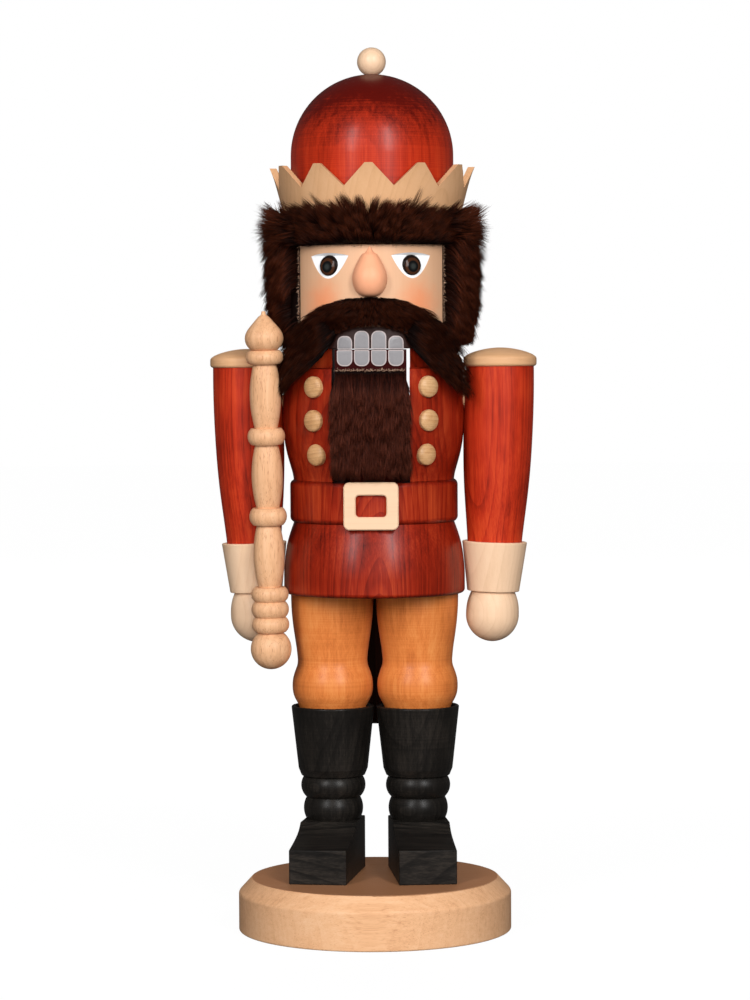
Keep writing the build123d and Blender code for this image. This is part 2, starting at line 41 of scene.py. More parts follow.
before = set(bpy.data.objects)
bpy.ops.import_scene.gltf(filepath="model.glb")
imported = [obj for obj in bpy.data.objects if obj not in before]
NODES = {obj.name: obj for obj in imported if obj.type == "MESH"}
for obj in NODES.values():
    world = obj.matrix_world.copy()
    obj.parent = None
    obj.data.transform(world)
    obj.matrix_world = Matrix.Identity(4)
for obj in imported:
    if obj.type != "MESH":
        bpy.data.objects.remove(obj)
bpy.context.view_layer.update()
MM = 0.001


# Places, from the frame

def middle(node):
    low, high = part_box(node)
    return (low + high) / 2


HEAD_LOW, HEAD_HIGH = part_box("head_block")
AXIS_Y = middle("head_block").y / MM  # the body's axis; this and the rest are in millimetres
HEAD_R = (HEAD_HIGH.x - HEAD_LOW.x) / 2 / MM
MOUTH_Z = HEAD_LOW.z / MM
BROW_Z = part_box("hair_fringe")[0].z / MM  # the fringe's lower edge
CROWN_FOOT_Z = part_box("crown_ring")[0].z / MM
WIG_LOW_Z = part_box("hair_wig")[0].z / MM
LEVER_FRONT_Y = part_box("jaw_lever")[0].y / MM
LEVER_TOP_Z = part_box("jaw_lever")[1].z / MM
LEVER_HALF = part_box("jaw_lever")[1].x / MM
BEARD_LOW_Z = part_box("beard")[0].z / MM
BEARD_TOP_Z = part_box("beard")[1].z / MM
SCEPTRE_TOP_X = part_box("sceptre")[0].x / MM + 9.6  # the middle of the sceptre's head
SCEPTRE_TOP_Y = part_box("sceptre")[0].y / MM + 9.4
SCEPTRE_TOP_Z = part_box("sceptre")[1].z / MM


# Camera, light and floor

CAMERA_DISTANCE = 1.450
CAMERA_AZIMUTH = 2.0  # degrees, like the next angles
CAMERA_HEIGHT = 0.2563
CAMERA_PAN = -0.040
CAMERA_PITCH = 2.61
CAMERA_ROLL = -0.34
CAMERA_LENS = 118.3
CAMERA_SENSOR = 36.0
CAMERA_NEAR = 0.05


def add_camera():
    camera = bpy.data.objects.new("camera", bpy.data.cameras.new("camera"))
    bpy.context.scene.collection.objects.link(camera)
    turn = math.radians(CAMERA_AZIMUTH)
    camera.location = (CAMERA_DISTANCE * math.sin(turn), -CAMERA_DISTANCE * math.cos(turn), CAMERA_HEIGHT)
    heading = Matrix.Rotation(turn + math.radians(CAMERA_PAN), 4, "Z")
    tilt = Matrix.Rotation(math.radians(90 - CAMERA_PITCH), 4, "X")
    roll = Matrix.Rotation(math.radians(CAMERA_ROLL), 4, "Z")
    camera.rotation_euler = (heading @ tilt @ roll).to_euler()
    camera.data.lens = CAMERA_LENS
    camera.data.sensor_width = CAMERA_SENSOR
    camera.data.clip_start = CAMERA_NEAR
    bpy.context.scene.camera = camera


AIM_HEIGHT = 0.20
LAMP_DISTANCE = 2.2


def add_softbox(name, azimuth, elevation, size, power, mirrored=True):
    """A soft lamp aimed at the figure. One that isn't mirrored gives light but no highlight. Degrees,
    metres and watts."""
    data = bpy.data.lights.new(name, "AREA")
    data.shape = "RECTANGLE"
    data.size, data.size_y = size
    data.energy = power
    lamp = bpy.data.objects.new(name, data)
    bpy.context.scene.collection.objects.link(lamp)
    around, up = math.radians(azimuth), math.radians(elevation)
    away = Vector((math.sin(around) * math.cos(up), -math.cos(around) * math.cos(up), math.sin(up)))
    lamp.location = Vector((0.0, 0.0, AIM_HEIGHT)) + away * LAMP_DISTANCE
    lamp.rotation_euler = (-away).to_track_quat("-Z", "Y").to_euler()
    lamp.visible_glossy = mirrored


FILL = 0.075  # the studio's dim surroundings, beside the softboxes
FILL_TINT = (1.0, 0.98, 0.96)


def add_world():
    """White to the camera, and dim for everything that the surroundings light."""
    world = bpy.data.worlds.new("studio")
    bpy.context.scene.world = world
    world.use_nodes = True
    tree = world.node_tree
    tree.nodes.clear()
    seen = tree.nodes.new("ShaderNodeBackground")
    seen.inputs["Color"].default_value = (1.0, 1.0, 1.0, 1.0)
    seen.inputs["Strength"].default_value = 1.0
    fill = tree.nodes.new("ShaderNodeBackground")
    fill.inputs["Color"].default_value = (*FILL_TINT, 1.0)
    fill.inputs["Strength"].default_value = FILL
    rays = tree.nodes.new("ShaderNodeLightPath")
    mix = tree.nodes.new("ShaderNodeMixShader")
    out = tree.nodes.new("ShaderNodeOutputWorld")
    tree.links.new(rays.outputs["Is Camera Ray"], mix.inputs["Fac"])
    tree.links.new(fill.outputs[0], mix.inputs[1])
    tree.links.new(seen.outputs[0], mix.inputs[2])
    tree.links.new(mix.outputs[0], out.inputs["Surface"])


FLOOR_RADIUS = 6.0
FLOOR_SIDES = 96
PAPER_GREY = 0.05
PAPER_NEAR = (150.0, 0.965)  # millimetres from the middle, and how brightly the paper glows there
PAPER_FAR = (900.0, 0.99)


def add_floor():
    """White paper that still takes the figure's shadow."""
    mesh = bpy.data.meshes.new("floor")
    turns = np.linspace(0, 2 * math.pi, FLOOR_SIDES + 1)[:-1]
    rim = [(FLOOR_RADIUS * math.cos(turn), FLOOR_RADIUS * math.sin(turn), 0.0) for turn in turns]
    mesh.from_pydata(rim, [], [tuple(range(len(rim)))])
    floor = bpy.data.objects.new("floor", mesh)
    bpy.context.scene.collection.objects.link(floor)
    paint = Shade("floor_paper")
    paint.colour((PAPER_GREY, PAPER_GREY, PAPER_GREY))
    paint.set("Roughness", 0.9)
    paint.set("Specular IOR Level", 0.0)
    paint.set("Emission Color", (1.0, 1.0, 1.0, 1.0))
    far = paint.vector("LENGTH", paint.position())
    glow = paint.span(far, PAPER_NEAR[0], PAPER_FAR[0], PAPER_NEAR[1], PAPER_FAR[1])
    paint.drive("Emission Strength", glow)
    mesh.materials.append(paint.material)
    floor.visible_diffuse = False
    floor.visible_glossy = False


# Materials

COLOUR_MAP = "OFBake"  # the fur's own map: strand shade across, root to tip upwards
PAINT_EDGE = 2.0  # how softly the paint's edges end
BLUSH = (0.82, 0.27, 0.115)
BLUSH_X = 21.0
BLUSH_UP = 20.5  # above the mouth
BLUSH_SHAPE = (1.0, 0.25, 0.85)
BLUSH_PATCHES = 5.0
BLUSH_DEPTH = 0.85
BLUSH_FADE = (2.0, 15.0)  # millimetres from its middle, at its deepest and where it ends
EYE_WHITE = (0.90, 0.90, 0.91)
EYE_CUT_LOW = 20.0  # above the mouth, like the next
EYE_CUT_HIGH = 50.0
EYE_CUT_DEPTH = (0.03, 0.09)
MOUTH_DARK = (0.022, 0.006, 0.004)
MOUTH_HALF = 19.4
MOUTH_SIDE_EDGE = 0.8
MOUTH_TOP = 11.0
MOUTH_BACK = -10.0  # y from the axis, so in front of it
# the colour that the base's upward-facing top is drawn towards
BASE_TOP_TONE = (0.30, 0.115, 0.046)
BASE_TOP_SHARE = 0.8
JAW_RED = (0.026, 0.0012, 0.0010)
JAW_RED_DEPTH = 3.0  # behind the jaw's face
JAW_RED_LOW = (-6.0, -3.0)  # from the beard's top: where the red begins, and where it is full


class Shade:
    """A short way to write one material's nodes. Positions are in millimetres, in the model's own frame."""

    def __init__(self, name):
        self.material = bpy.data.materials.new(name)
        self.material.use_nodes = True
        self.tree = self.material.node_tree
        self.tree.nodes.clear()
        self.shader = self.tree.nodes.new("ShaderNodeBsdfPrincipled")
        out = self.tree.nodes.new("ShaderNodeOutputMaterial")
        self.tree.links.new(self.shader.outputs[0], out.inputs["Surface"])
        self.place = None

    def set(self, socket, value):
        self.shader.inputs[socket].default_value = value

    def drive(self, socket, source):
        self.tree.links.new(source, self.shader.inputs[socket])

    def colour(self, rgb):
        self.set("Base Color", (*rgb, 1.0))

    def put(self, socket, value):
        if isinstance(value, bpy.types.NodeSocket):
            self.tree.links.new(value, socket)
        elif value is not None:
            socket.default_value = value

    def position(self, scale=(1, 1, 1), offset=(0, 0, 0), turn=(0, 0, 0)):
        """The point in millimetres, less the offset, turned and then scaled."""
        if self.place is None:
            coords = self.tree.nodes.new("ShaderNodeTexCoord")
            self.place = self.vector("MULTIPLY", coords.outputs["Object"], (1000.0, 1000.0, 1000.0))
        moved = self.vector("SUBTRACT", self.place, tuple(offset))
        if any(turn):
            rotate = self.tree.nodes.new("ShaderNodeVectorRotate")
            rotate.rotation_type = "EULER_XYZ"
            rotate.inputs["Rotation"].default_value = tuple(math.radians(t) for t in turn)
            self.put(rotate.inputs["Vector"], moved)
            moved = rotate.outputs[0]
        return self.vector("MULTIPLY", moved, tuple(scale))

    def facing(self, axis):
        """How squarely the surface crosses the fibres, which is where stain soaks in deepest."""
        coords = self.tree.nodes.new("ShaderNodeTexCoord")
        part = self.split(coords.outputs["Normal"])["XYZ".index(axis)]
        return self.span(self.maths("ABSOLUTE", part), 0.05, 1.0, smooth=False)

    def vector(self, operation, a, b=None):
        node = self.tree.nodes.new("ShaderNodeVectorMath")
        node.operation = operation
        self.put(node.inputs[0], a)
        self.put(node.inputs[1], b)
        return node.outputs["Value"] if operation in ("LENGTH", "DOT_PRODUCT") else node.outputs[0]

    def maths(self, operation, a, b=None, c=None):
        node = self.tree.nodes.new("ShaderNodeMath")
        node.operation = operation
        for socket, value in zip(node.inputs, (a, b, c)):
            self.put(socket, value)
        return node.outputs[0]

    def split(self, vector):
        node = self.tree.nodes.new("ShaderNodeSeparateXYZ")
        self.put(node.inputs[0], vector)
        return node.outputs

    def join(self, x, y, z):
        node = self.tree.nodes.new("ShaderNodeCombineXYZ")
        for socket, value in zip(node.inputs, (x, y, z)):
            self.put(socket, value)
        return node.outputs[0]

    def noise(self, vector, scale=1.0, detail=3.0, roughness=0.55, distortion=0.0):
        node = self.tree.nodes.new("ShaderNodeTexNoise")
        self.put(node.inputs["Vector"], vector)
        node.inputs["Scale"].default_value = scale
        node.inputs["Detail"].default_value = detail
        node.inputs["Roughness"].default_value = roughness
        node.inputs["Distortion"].default_value = distortion
        return node.outputs["Fac"]

    def span(self, value, low, high, to_low=0.0, to_high=1.0, smooth=True):
        node = self.tree.nodes.new("ShaderNodeMapRange")
        node.interpolation_type = "SMOOTHSTEP" if smooth else "LINEAR"
        for socket, setting in zip(node.inputs, (value, low, high, to_low, to_high)):
            self.put(socket, setting)
        return node.outputs[0]

    def ramp(self, value, stops):
        node = self.tree.nodes.new("ShaderNodeValToRGB")
        self.put(node.inputs[0], value)
        marks = node.color_ramp.elements
        while len(marks) < len(stops):
            marks.new(0.5)
        for mark, (at, rgb) in zip(marks, stops):
            mark.position = at
            mark.color = (*rgb, 1.0)
        return node.outputs[0]

    def mix(self, factor, a, b):
        node = self.tree.nodes.new("ShaderNodeMix")
        node.data_type = "RGBA"
        self.put(node.inputs["Factor"], factor)
        colours = (socket for socket in node.inputs if socket.type == "RGBA")
        for socket, value in zip(colours, (a, b)):
            self.put(socket, (*value, 1.0) if isinstance(value, tuple) else value)
        return node.outputs[2]

    def bump(self, height, distance):
        node = self.tree.nodes.new("ShaderNodeBump")
        node.inputs["Distance"].default_value = distance
        node.inputs["Strength"].default_value = 0.5
        self.put(node.inputs["Height"], height)
        return node.outputs[0]


# Noise scales per millimetre, across the grain twice and then along it
WANDER_SCALE = (0.018, 0.018, 0.006)
THREAD_SCALE = (3.4, 3.4, 0.055)
STREAK_SCALE = (0.55, 0.55, 0.012)
CLOUD_SCALE = (0.05, 0.05, 0.03)
PORE_SCALE = (2.6, 2.6, 0.22)
WANDER = 14.0  # how far the rings wander, in millimetres
RING_UNEVEN = 7.0
RELIEF = 0.05 * MM
LATE_WOOD = 2.6  # the power that leaves dark wood only at a ring's end


def growth_rings(shade, along, pith, lean, ring, seed):
    """Dark late wood at the end of each year's ring, and none right at its edge."""
    wander = shade.noise(shade.vector("MULTIPLY", along, WANDER_SCALE), detail=2.0, distortion=0.3)
    x, y, z = shade.split(along)
    shift = shade.maths("MULTIPLY_ADD", wander, WANDER, -WANDER / 2 + seed)
    shift = shade.maths("MULTIPLY_ADD", z, lean[0], shift)
    off_x = shade.maths("ADD", shade.maths("SUBTRACT", x, pith[0]), shift)
    off_y = shade.maths("ADD", shade.maths("SUBTRACT", y, pith[1]), shade.maths("MULTIPLY", z, lean[1]))
    radius = shade.vector("LENGTH", shade.join(off_x, off_y, 0.0))
    uneven = shade.noise(shade.join(radius, seed, 0.0), scale=0.21, detail=1.0)
    years = shade.maths("DIVIDE", shade.maths("MULTIPLY_ADD", uneven, RING_UNEVEN, radius), ring)
    year = shade.maths("FRACT", years)
    late = shade.maths("POWER", year, LATE_WOOD)
    return shade.maths("MULTIPLY", late, shade.span(year, 0.94, 1.0, 1.0, 0.0))


def wood(name, tones, pith, lean=(0.0, 0.0), ring=2.6, ring_depth=0.5, fibre=0.5, pores=0.0,
         lathe=0.0, blotch=0.3, gloss=0.4, coat=0.0, coat_gloss=0.2, shine=0.4, seed=0.0,
         grain="Z", end_grain=0.0, finish=None):
    """Stained or clear wood. tones are dark, middle and light. pith is the tree's centre, in mm, that the
    growth rings go round. lean tips it, which draws the arches of flat-sawn grain. grain is the axis that
    fibres follow. end_grain is how much darker the stain is where fibres meet the surface end on."""
    shade = Shade(name)
    turn = {"Z": (0, 0, 0), "X": (0, 90, 0), "Y": (90, 0, 0)}[grain]
    along = shade.position(turn=turn)
    rings = growth_rings(shade, along, pith, lean, ring, seed)
    threads = shade.noise(shade.vector("MULTIPLY", along, THREAD_SCALE), detail=3.0, roughness=0.65)
    streaks = shade.noise(shade.vector("MULTIPLY", along, STREAK_SCALE), detail=3.0, roughness=0.6)
    clouds = shade.noise(shade.vector("MULTIPLY", along, CLOUD_SCALE), detail=3.0)

    def add_swing(tone, pattern, low, swing):
        return shade.maths("ADD", tone, shade.span(pattern, low, 1.0 - low, -swing, swing, smooth=False))

    tone = shade.maths("MULTIPLY_ADD", rings, -ring_depth, 0.5 + ring_depth * 0.28)
    tone = add_swing(tone, threads, 0.25, 0.5 * fibre)
    tone = add_swing(tone, streaks, 0.25, 0.42 * fibre)
    tone = add_swing(tone, clouds, 0.2, blotch)
    relief = shade.maths("MULTIPLY_ADD", threads, 0.6, shade.maths("MULTIPLY", rings, -0.25))
    if pores:
        dashes = shade.noise(shade.vector("MULTIPLY", along, PORE_SCALE), detail=1.0)
        open_pore = shade.span(dashes, 0.62, 0.70)
        tone = shade.maths("MULTIPLY_ADD", open_pore, -pores, tone)
        relief = shade.maths("MULTIPLY_ADD", open_pore, -0.8, relief)
    if lathe:
        height = shade.split(shade.position())[2]
        rounds = shade.noise(shade.join(0.0, seed, height), scale=1.9, detail=2.0, roughness=0.7)
        tone = add_swing(tone, rounds, 0.25, lathe)
        relief = shade.maths("MULTIPLY_ADD", rounds, 0.5, relief)
    if end_grain:
        tone = shade.maths("MULTIPLY_ADD", shade.facing(grain), -end_grain, tone)
    colour = shade.ramp(tone, list(zip((0.0, 0.5, 1.0), tones)))
    if finish:
        colour = finish(shade, colour)
    shade.drive("Base Color", colour)
    shade.drive("Roughness", shade.maths("MULTIPLY_ADD", threads, 0.16, gloss - 0.08))
    shade.drive("Normal", shade.bump(relief, RELIEF))
    shade.set("Specular IOR Level", shine)
    if coat:
        shade.set("Coat Weight", coat)
        shade.set("Coat Roughness", coat_gloss)
    return shade.material


RED = ((0.055, 0.0018, 0.0007), (0.265, 0.0150, 0.0038), (0.50, 0.060, 0.0150))
RED_BRIGHT = ((0.090, 0.0028, 0.0010), (0.44, 0.026, 0.0065), (0.68, 0.075, 0.018))
ORANGE = ((0.36, 0.075, 0.013), (0.66, 0.195, 0.044), (0.80, 0.34, 0.10))
CROWN = ((0.50, 0.26, 0.115), (0.67, 0.375, 0.19), (0.76, 0.47, 0.27))
MAPLE = ((0.60, 0.37, 0.22), (0.80, 0.54, 0.35), (0.88, 0.66, 0.47))
BUTTON = ((0.31, 0.14, 0.055), (0.54, 0.29, 0.125), (0.70, 0.44, 0.23))
BEECH = ((0.47, 0.21, 0.095), (0.75, 0.42, 0.225), (0.84, 0.55, 0.34))
BLACK = ((0.0035, 0.0030, 0.0026), (0.0095, 0.0080, 0.0068), (0.026, 0.021, 0.017))
LEVER = ((0.006, 0.0022, 0.0014), (0.020, 0.0060, 0.0034), (0.045, 0.014, 0.008))
FLESH = ((0.60, 0.31, 0.165), (0.70, 0.41, 0.245), (0.78, 0.505, 0.33))
NOSE = ((0.74, 0.28, 0.14), (0.86, 0.385, 0.215), (0.92, 0.49, 0.31))


def face_paint(shade, colour):
    """The head's tint, with blushing cheeks, the white of the eyes and the dark of the mouth."""
    x, y, z = shade.split(shade.position())
    for side in (-1, 1):
        cheek = (side * BLUSH_X, AXIS_Y - HEAD_R, MOUTH_Z + BLUSH_UP)
        off = shade.vector("SUBTRACT", shade.position(), cheek)
        away = shade.vector("LENGTH", shade.vector("MULTIPLY", off, BLUSH_SHAPE))
        patches = shade.noise(shade.position(), scale=0.25, detail=3.0)
        away = shade.maths("MULTIPLY_ADD", patches, BLUSH_PATCHES, away)
        colour = shade.mix(shade.span(away, *BLUSH_FADE, BLUSH_DEPTH, 0.0), colour, BLUSH)
    behind = shade.maths("SUBTRACT", y, AXIS_Y)
    squared = shade.maths("ADD", shade.maths("POWER", x, 2.0), shade.maths("POWER", behind, 2.0))
    radius = shade.maths("SQRT", squared)
    upper = shade.span(z, MOUTH_Z + EYE_CUT_LOW, MOUTH_Z + EYE_CUT_LOW + PAINT_EDGE)
    lower = shade.span(z, MOUTH_Z + EYE_CUT_HIGH, MOUTH_Z + EYE_CUT_HIGH - PAINT_EDGE)
    cut = shade.span(radius, HEAD_R - EYE_CUT_DEPTH[0], HEAD_R - EYE_CUT_DEPTH[1])
    cut = shade.maths("MULTIPLY", cut, shade.maths("MULTIPLY", upper, lower))
    colour = shade.mix(cut, colour, EYE_WHITE)
    inside = shade.span(shade.maths("ABSOLUTE", x), MOUTH_HALF, MOUTH_HALF - MOUTH_SIDE_EDGE)
    under = shade.span(z, MOUTH_Z + MOUTH_TOP, MOUTH_Z + MOUTH_TOP - PAINT_EDGE)
    ahead = shade.span(behind, MOUTH_BACK, MOUTH_BACK - PAINT_EDGE)
    mouth = shade.maths("MULTIPLY", shade.maths("MULTIPLY", inside, under), ahead)
    return shade.mix(mouth, colour, MOUTH_DARK)


def darker_top(shade, colour):
    """The base's flat top, where the surface faces up, is coloured darker than its turned wall."""
    level = shade.span(shade.facing("Z"), 0.80, 1.0)
    return shade.mix(shade.maths("MULTIPLY", level, BASE_TOP_SHARE), colour, BASE_TOP_TONE)


def jaw_paint(shade, colour):
    """The jaw's face is painted dark red round its teeth."""
    _, y, z = shade.split(shade.position())
    back = LEVER_FRONT_Y + JAW_RED_DEPTH
    front = shade.span(y, back, back - PAINT_EDGE)
    upper = shade.span(z, BEARD_TOP_Z + JAW_RED_LOW[0], BEARD_TOP_Z + JAW_RED_LOW[1])
    return shade.mix(shade.maths("MULTIPLY", front, upper), colour, JAW_RED)


EYE_AZIMUTH = 30.5  # degrees from the front, as far as the eyes look aside
EYE_DROP = -0.13
# the pupil's lighter middle is a painted glint; its edge is near black
PUPIL_AND_GLINT = ((0.030, 0.034, 0.032), (0.006, 0.006, 0.006))  # its middle and its edge
GLINT_FADE = (0.5, 1.9)  # the radii, in millimetres, over which one turns into the other
IRIS = ((0.026, 0.009, 0.005), (0.085, 0.032, 0.014))
IRIS_FROM = (2.35, 2.65)
EYE_RIM = (0.010, 0.006, 0.005)
EYE_RIM_FROM = (3.45, 3.85)


def eye_glass(name, side):
    """A glass bead with a dark rim, a brown iris and a grey-black pupil, whose lighter middle is a painted
    glint.
    """
    shade = Shade(name)
    centre = middle(f"eye_{name.split('_')[-1]}") / MM
    turn = math.radians(EYE_AZIMUTH) * side
    outward = Vector((math.sin(turn), -math.cos(turn), EYE_DROP)).normalized()
    from_centre = shade.position(offset=centre)
    depth = shade.vector("DOT_PRODUCT", from_centre, tuple(outward))
    length = shade.vector("LENGTH", from_centre)
    squared = shade.maths("SUBTRACT", shade.maths("POWER", length, 2.0), shade.maths("POWER", depth, 2.0))
    radius = shade.maths("SQRT", shade.maths("MAXIMUM", squared, 0.0))
    spokes = shade.noise(shade.vector("NORMALIZE", from_centre), scale=9.0, detail=2.0)
    iris = shade.mix(spokes, *IRIS)
    # painted glint: the pupil turns lighter towards its middle
    pupil = shade.mix(shade.span(radius, *GLINT_FADE), *PUPIL_AND_GLINT)
    colour = shade.mix(shade.span(radius, *IRIS_FROM), pupil, iris)
    colour = shade.mix(shade.span(radius, *EYE_RIM_FROM), colour, EYE_RIM)
    shade.drive("Base Color", colour)
    shade.set("Roughness", 0.14)
    shade.set("Specular IOR Level", 0.12)
    return shade.material


STEEL = ((0.42, 0.41, 0.39), (0.66, 0.66, 0.66))
STEEL_ROUGHNESS = (0.28, 0.48)


def plated_steel():
    """Bright plating with fine streaks."""
    shade = Shade("plated_steel")
    brushed = shade.noise(shade.position(scale=(4.0, 4.0, 0.4)), detail=3.0)
    shade.drive("Base Color", shade.mix(brushed, *STEEL))
    shade.set("Metallic", 1.0)
    shade.drive("Roughness", shade.span(brushed, 0.2, 0.8, *STEEL_ROUGHNESS))
    return shade.material


# painted shade deep in the pile, at the strands' roots and over the pelt
ROOT_SHADE = (0.0035, 0.0011, 0.0007)


def fur_colour(name, dark, light, tip):
    """Fur: colour runs along the strand, and from strand to strand, by the pile's own colour map; painted
    shade darkens each strand towards its root, and a painted highlight lightens it towards its tip.
    """
    shade = Shade(name)
    mapped = shade.tree.nodes.new("ShaderNodeUVMap")
    mapped.uv_map = COLOUR_MAP
    u, v, _ = shade.split(mapped.outputs[0])
    body = shade.mix(u, dark, light)
    # painted highlight: strands turn towards the lighter tip colour along their outer part
    ends = shade.mix(u, light, tip)
    colour = shade.mix(shade.span(v, 0.35, 1.0), body, ends)
    # painted shade: each strand darkens towards its root
    root = shade.span(v, 0.0, 0.45, 0.35, 1.0)
    shade.drive("Base Color", shade.mix(root, ROOT_SHADE, colour))
    shade.set("Roughness", 0.5)
    shade.set("Specular IOR Level", 0.10)
    return shade.material


DIMPLES = 0.02 * MM


def plain_paint(name, low, high, roughness):
    """Paint whose colour and gloss are slightly cloudy."""
    shade = Shade(name)
    cloud = shade.noise(shade.position(), scale=0.9, detail=4.0)
    shade.drive("Base Color", shade.mix(cloud, low, high))
    shade.drive("Roughness", shade.span(cloud, 0.2, 0.8, roughness - 0.06, roughness + 0.06))
    dimples = shade.noise(shade.position(), scale=3.0, detail=3.0)
    shade.drive("Normal", shade.bump(dimples, DIMPLES))
    return shade.material


def dress(material, *nodes):
    """One material over the whole of each node."""
    for node in nodes:
        mesh = NODES[node].data
        mesh.materials.clear()
        mesh.materials.append(material)


def wooden(nodes, *kind, **looks):
    """Makes nodes of one kind of wood, which wood() explains."""
    dress(wood(*kind, **looks), *nodes)


def dress_body():
    """Coat and hat, lacquered over a red stain."""
    lacquer = dict(gloss=0.36, shine=0.20, coat=0.10, coat_gloss=0.19)
    wooden(["torso"], "coat_stain", RED, pith=(4.0, AXIS_Y - 74), lean=(0.0, -0.25), ring=2.5,
           ring_depth=0.28, fibre=0.38, seed=3.0, end_grain=0.5, **lacquer)
    wooden(["hat_dome"], "hat_stain", RED_BRIGHT, pith=(20.0, AXIS_Y + 55), lean=(0.0, 0.03), ring=4.0,
           ring_depth=0.10, fibre=0.30, lathe=0.16, blotch=0.2, seed=11.0, end_grain=0.80, **lacquer)


def dress_side(side, sign):
    """The arm, hand, leg and boot of one side. sign is 1 on the figure's left."""
    x = middle(f"sleeve_{side}").x / MM
    wooden([f"sleeve_{side}"], f"sleeve_stain_{side}", RED_BRIGHT, pith=(x + 32 * sign, AXIS_Y + 36),
           ring=2.2, ring_depth=0.24, fibre=0.38, gloss=0.5, shine=0.22, end_grain=0.4, seed=5.0 + sign)
    x = middle(f"leg_{side}").x / MM
    wooden([f"leg_{side}"], f"leg_stain_{side}", ORANGE, pith=(x - 14 * sign, AXIS_Y + 18), ring=3.4,
           ring_depth=0.07, fibre=0.34, lathe=0.10, gloss=0.40, coat=0.08, coat_gloss=0.3, shine=0.3,
           seed=7.0 + sign)
    wooden([f"boot_{side}"], f"boot_stain_{side}", BLACK, pith=(x + 9, AXIS_Y + 14), ring=2.4,
           ring_depth=0.25, fibre=0.45, lathe=0.12, gloss=0.38, coat=0.05, coat_gloss=0.25, shine=0.20,
           seed=2.0 + sign)
    wooden([f"foot_{side}"], f"foot_stain_{side}", BLACK, pith=(x, 70.0), ring=2.4, ring_depth=0.5,
           fibre=0.9, grain="X", gloss=0.5, shine=0.2, seed=4.0 + sign)
    x = middle(f"hand_{side}").x / MM
    pale = dict(fibre=0.16, ring_depth=0.16, blotch=0.12, gloss=0.5)
    wooden([f"cuff_{side}", f"hand_{side}"], f"cuff_maple_{side}", MAPLE, pith=(x + 18, AXIS_Y + 12),
           ring=2.6, seed=1.0 + sign, **pale)
    wooden([f"shoulder_cap_{side}"], f"cap_maple_{side}", CROWN, pith=(x, AXIS_Y - 40), ring=2.8,
           seed=8.0 + sign, grain="X", **pale)


HIDDEN = ["ankle_dowels", "knee_dowels", "hip_dowels", "neck_dowels", "hat_dowel", "shoulder_dowels",
          "wrist_dowels", "sceptre_dowel", "hinge_pin"]


def dress_pale_wood():
    """Everything else of clear wood, and the dowels inside."""
    wooden(["crown_ring"], "crown_maple", CROWN, pith=(30.0, AXIS_Y - 20), ring=2.6, ring_depth=0.18,
           fibre=0.18, blotch=0.12, gloss=0.5, seed=6.0)
    wooden(["cap_ball"], "ball_maple", MAPLE, pith=(12.0, AXIS_Y - 30), ring=1.6, ring_depth=0.22,
           fibre=0.22, blotch=0.15, gloss=0.38, coat=0.15, seed=9.0)
    wooden(["coat_buttons"], "button_wood", BUTTON, pith=(18.0, -8.0), ring=1.3, ring_depth=0.35,
           fibre=0.4, blotch=0.25, grain="Y", gloss=0.36, seed=9.2)
    wooden(["belt_buckle"], "buckle_maple", MAPLE, pith=(0.0, -60.0), ring=3.0, ring_depth=0.06,
           fibre=0.10, blotch=0.06, gloss=0.45, seed=9.5, grain="X")
    wooden(["base_plate"], "base_beech", BEECH, pith=(10.0, 70.0), ring=2.2, ring_depth=0.10, fibre=0.34,
           pores=0.22, blotch=0.14, gloss=0.42, coat=0.04, shine=0.14, seed=12.0, grain="X",
           finish=darker_top)
    wooden(["sceptre"], "sceptre_beech", BEECH, pith=(-62.0, 6.0), ring=3.0, ring_depth=0.18, fibre=0.28,
           pores=0.42, blotch=0.10, gloss=0.45, seed=13.0)
    wooden(HIDDEN, "dowel_wood", BEECH, pith=(4.0, 20.0), ring=2.0, gloss=0.6, seed=16.0)


def dress_head():
    """The jaw, face, nose and eyes."""
    wooden(["jaw_lever"], "lever_stain", LEVER, pith=(0.0, 90.0), ring=3.2, ring_depth=0.5, fibre=0.8,
           gloss=0.5, shine=0.08, seed=14.0, finish=jaw_paint)
    flesh = dict(pith=(9.0, AXIS_Y + 30), ring=3.2, ring_depth=0.06, fibre=0.10, blotch=0.06, gloss=0.48,
                 seed=15.0)
    wooden(["head_block"], "face_tint", FLESH, finish=face_paint, **flesh)
    wooden(["nose"], "nose_tint", NOSE, **flesh)
    dress(eye_glass("glass_left", 1), "eye_left")
    dress(eye_glass("glass_right", -1), "eye_right")


# Fur: tapered strands over a thin closed pelt, in millimetres, each pile one piece.
# The numbers before out, around, aside and up say how far a strand leans each way.

SHADES = 48  # strand colours, side by side in the colour map
SHADE_SPREAD = 0.3  # how far across its colour one strand reaches
STRAND_RINGS = 3
CORNERS = 3
LEADER_BLOCK = 1500  # strands compared with the tufts' leaders at a time


def on_wall(azimuth, radius, height):
    """Points round the head; azimuth is in radians from the front, towards the figure's left."""
    azimuth, radius, height = np.broadcast_arrays(azimuth, radius, height)
    x = radius * np.sin(azimuth)
    y = AXIS_Y - radius * np.cos(azimuth)
    return np.stack([x, y, height], axis=-1).astype(float)


def wall_directions(azimuth):
    """Unit vectors out of the wall, round it towards the figure's left, and up."""
    zero = np.zeros_like(azimuth)
    out = np.stack([np.sin(azimuth), -np.cos(azimuth), zero], axis=-1)
    around = np.stack([np.cos(azimuth), np.sin(azimuth), zero], axis=-1)
    up = np.stack([zero, zero, zero + 1], axis=-1)
    return out, around, up


def unit(vectors):
    return vectors / np.maximum(np.linalg.norm(vectors, axis=-1, keepdims=True), 1e-9)


def nearest_leader(roots, leaders):
    """For each strand, the tuft's leader that grows nearest to it."""
    nearest = np.empty(len(roots), dtype=int)
    for block in np.array_split(np.arange(len(roots)), max(1, len(roots) // LEADER_BLOCK)):
        gaps = np.linalg.norm(roots[block, None] - roots[None, leaders], axis=-1)
        nearest[block] = leaders[np.argmin(gaps, axis=1)]
    return nearest


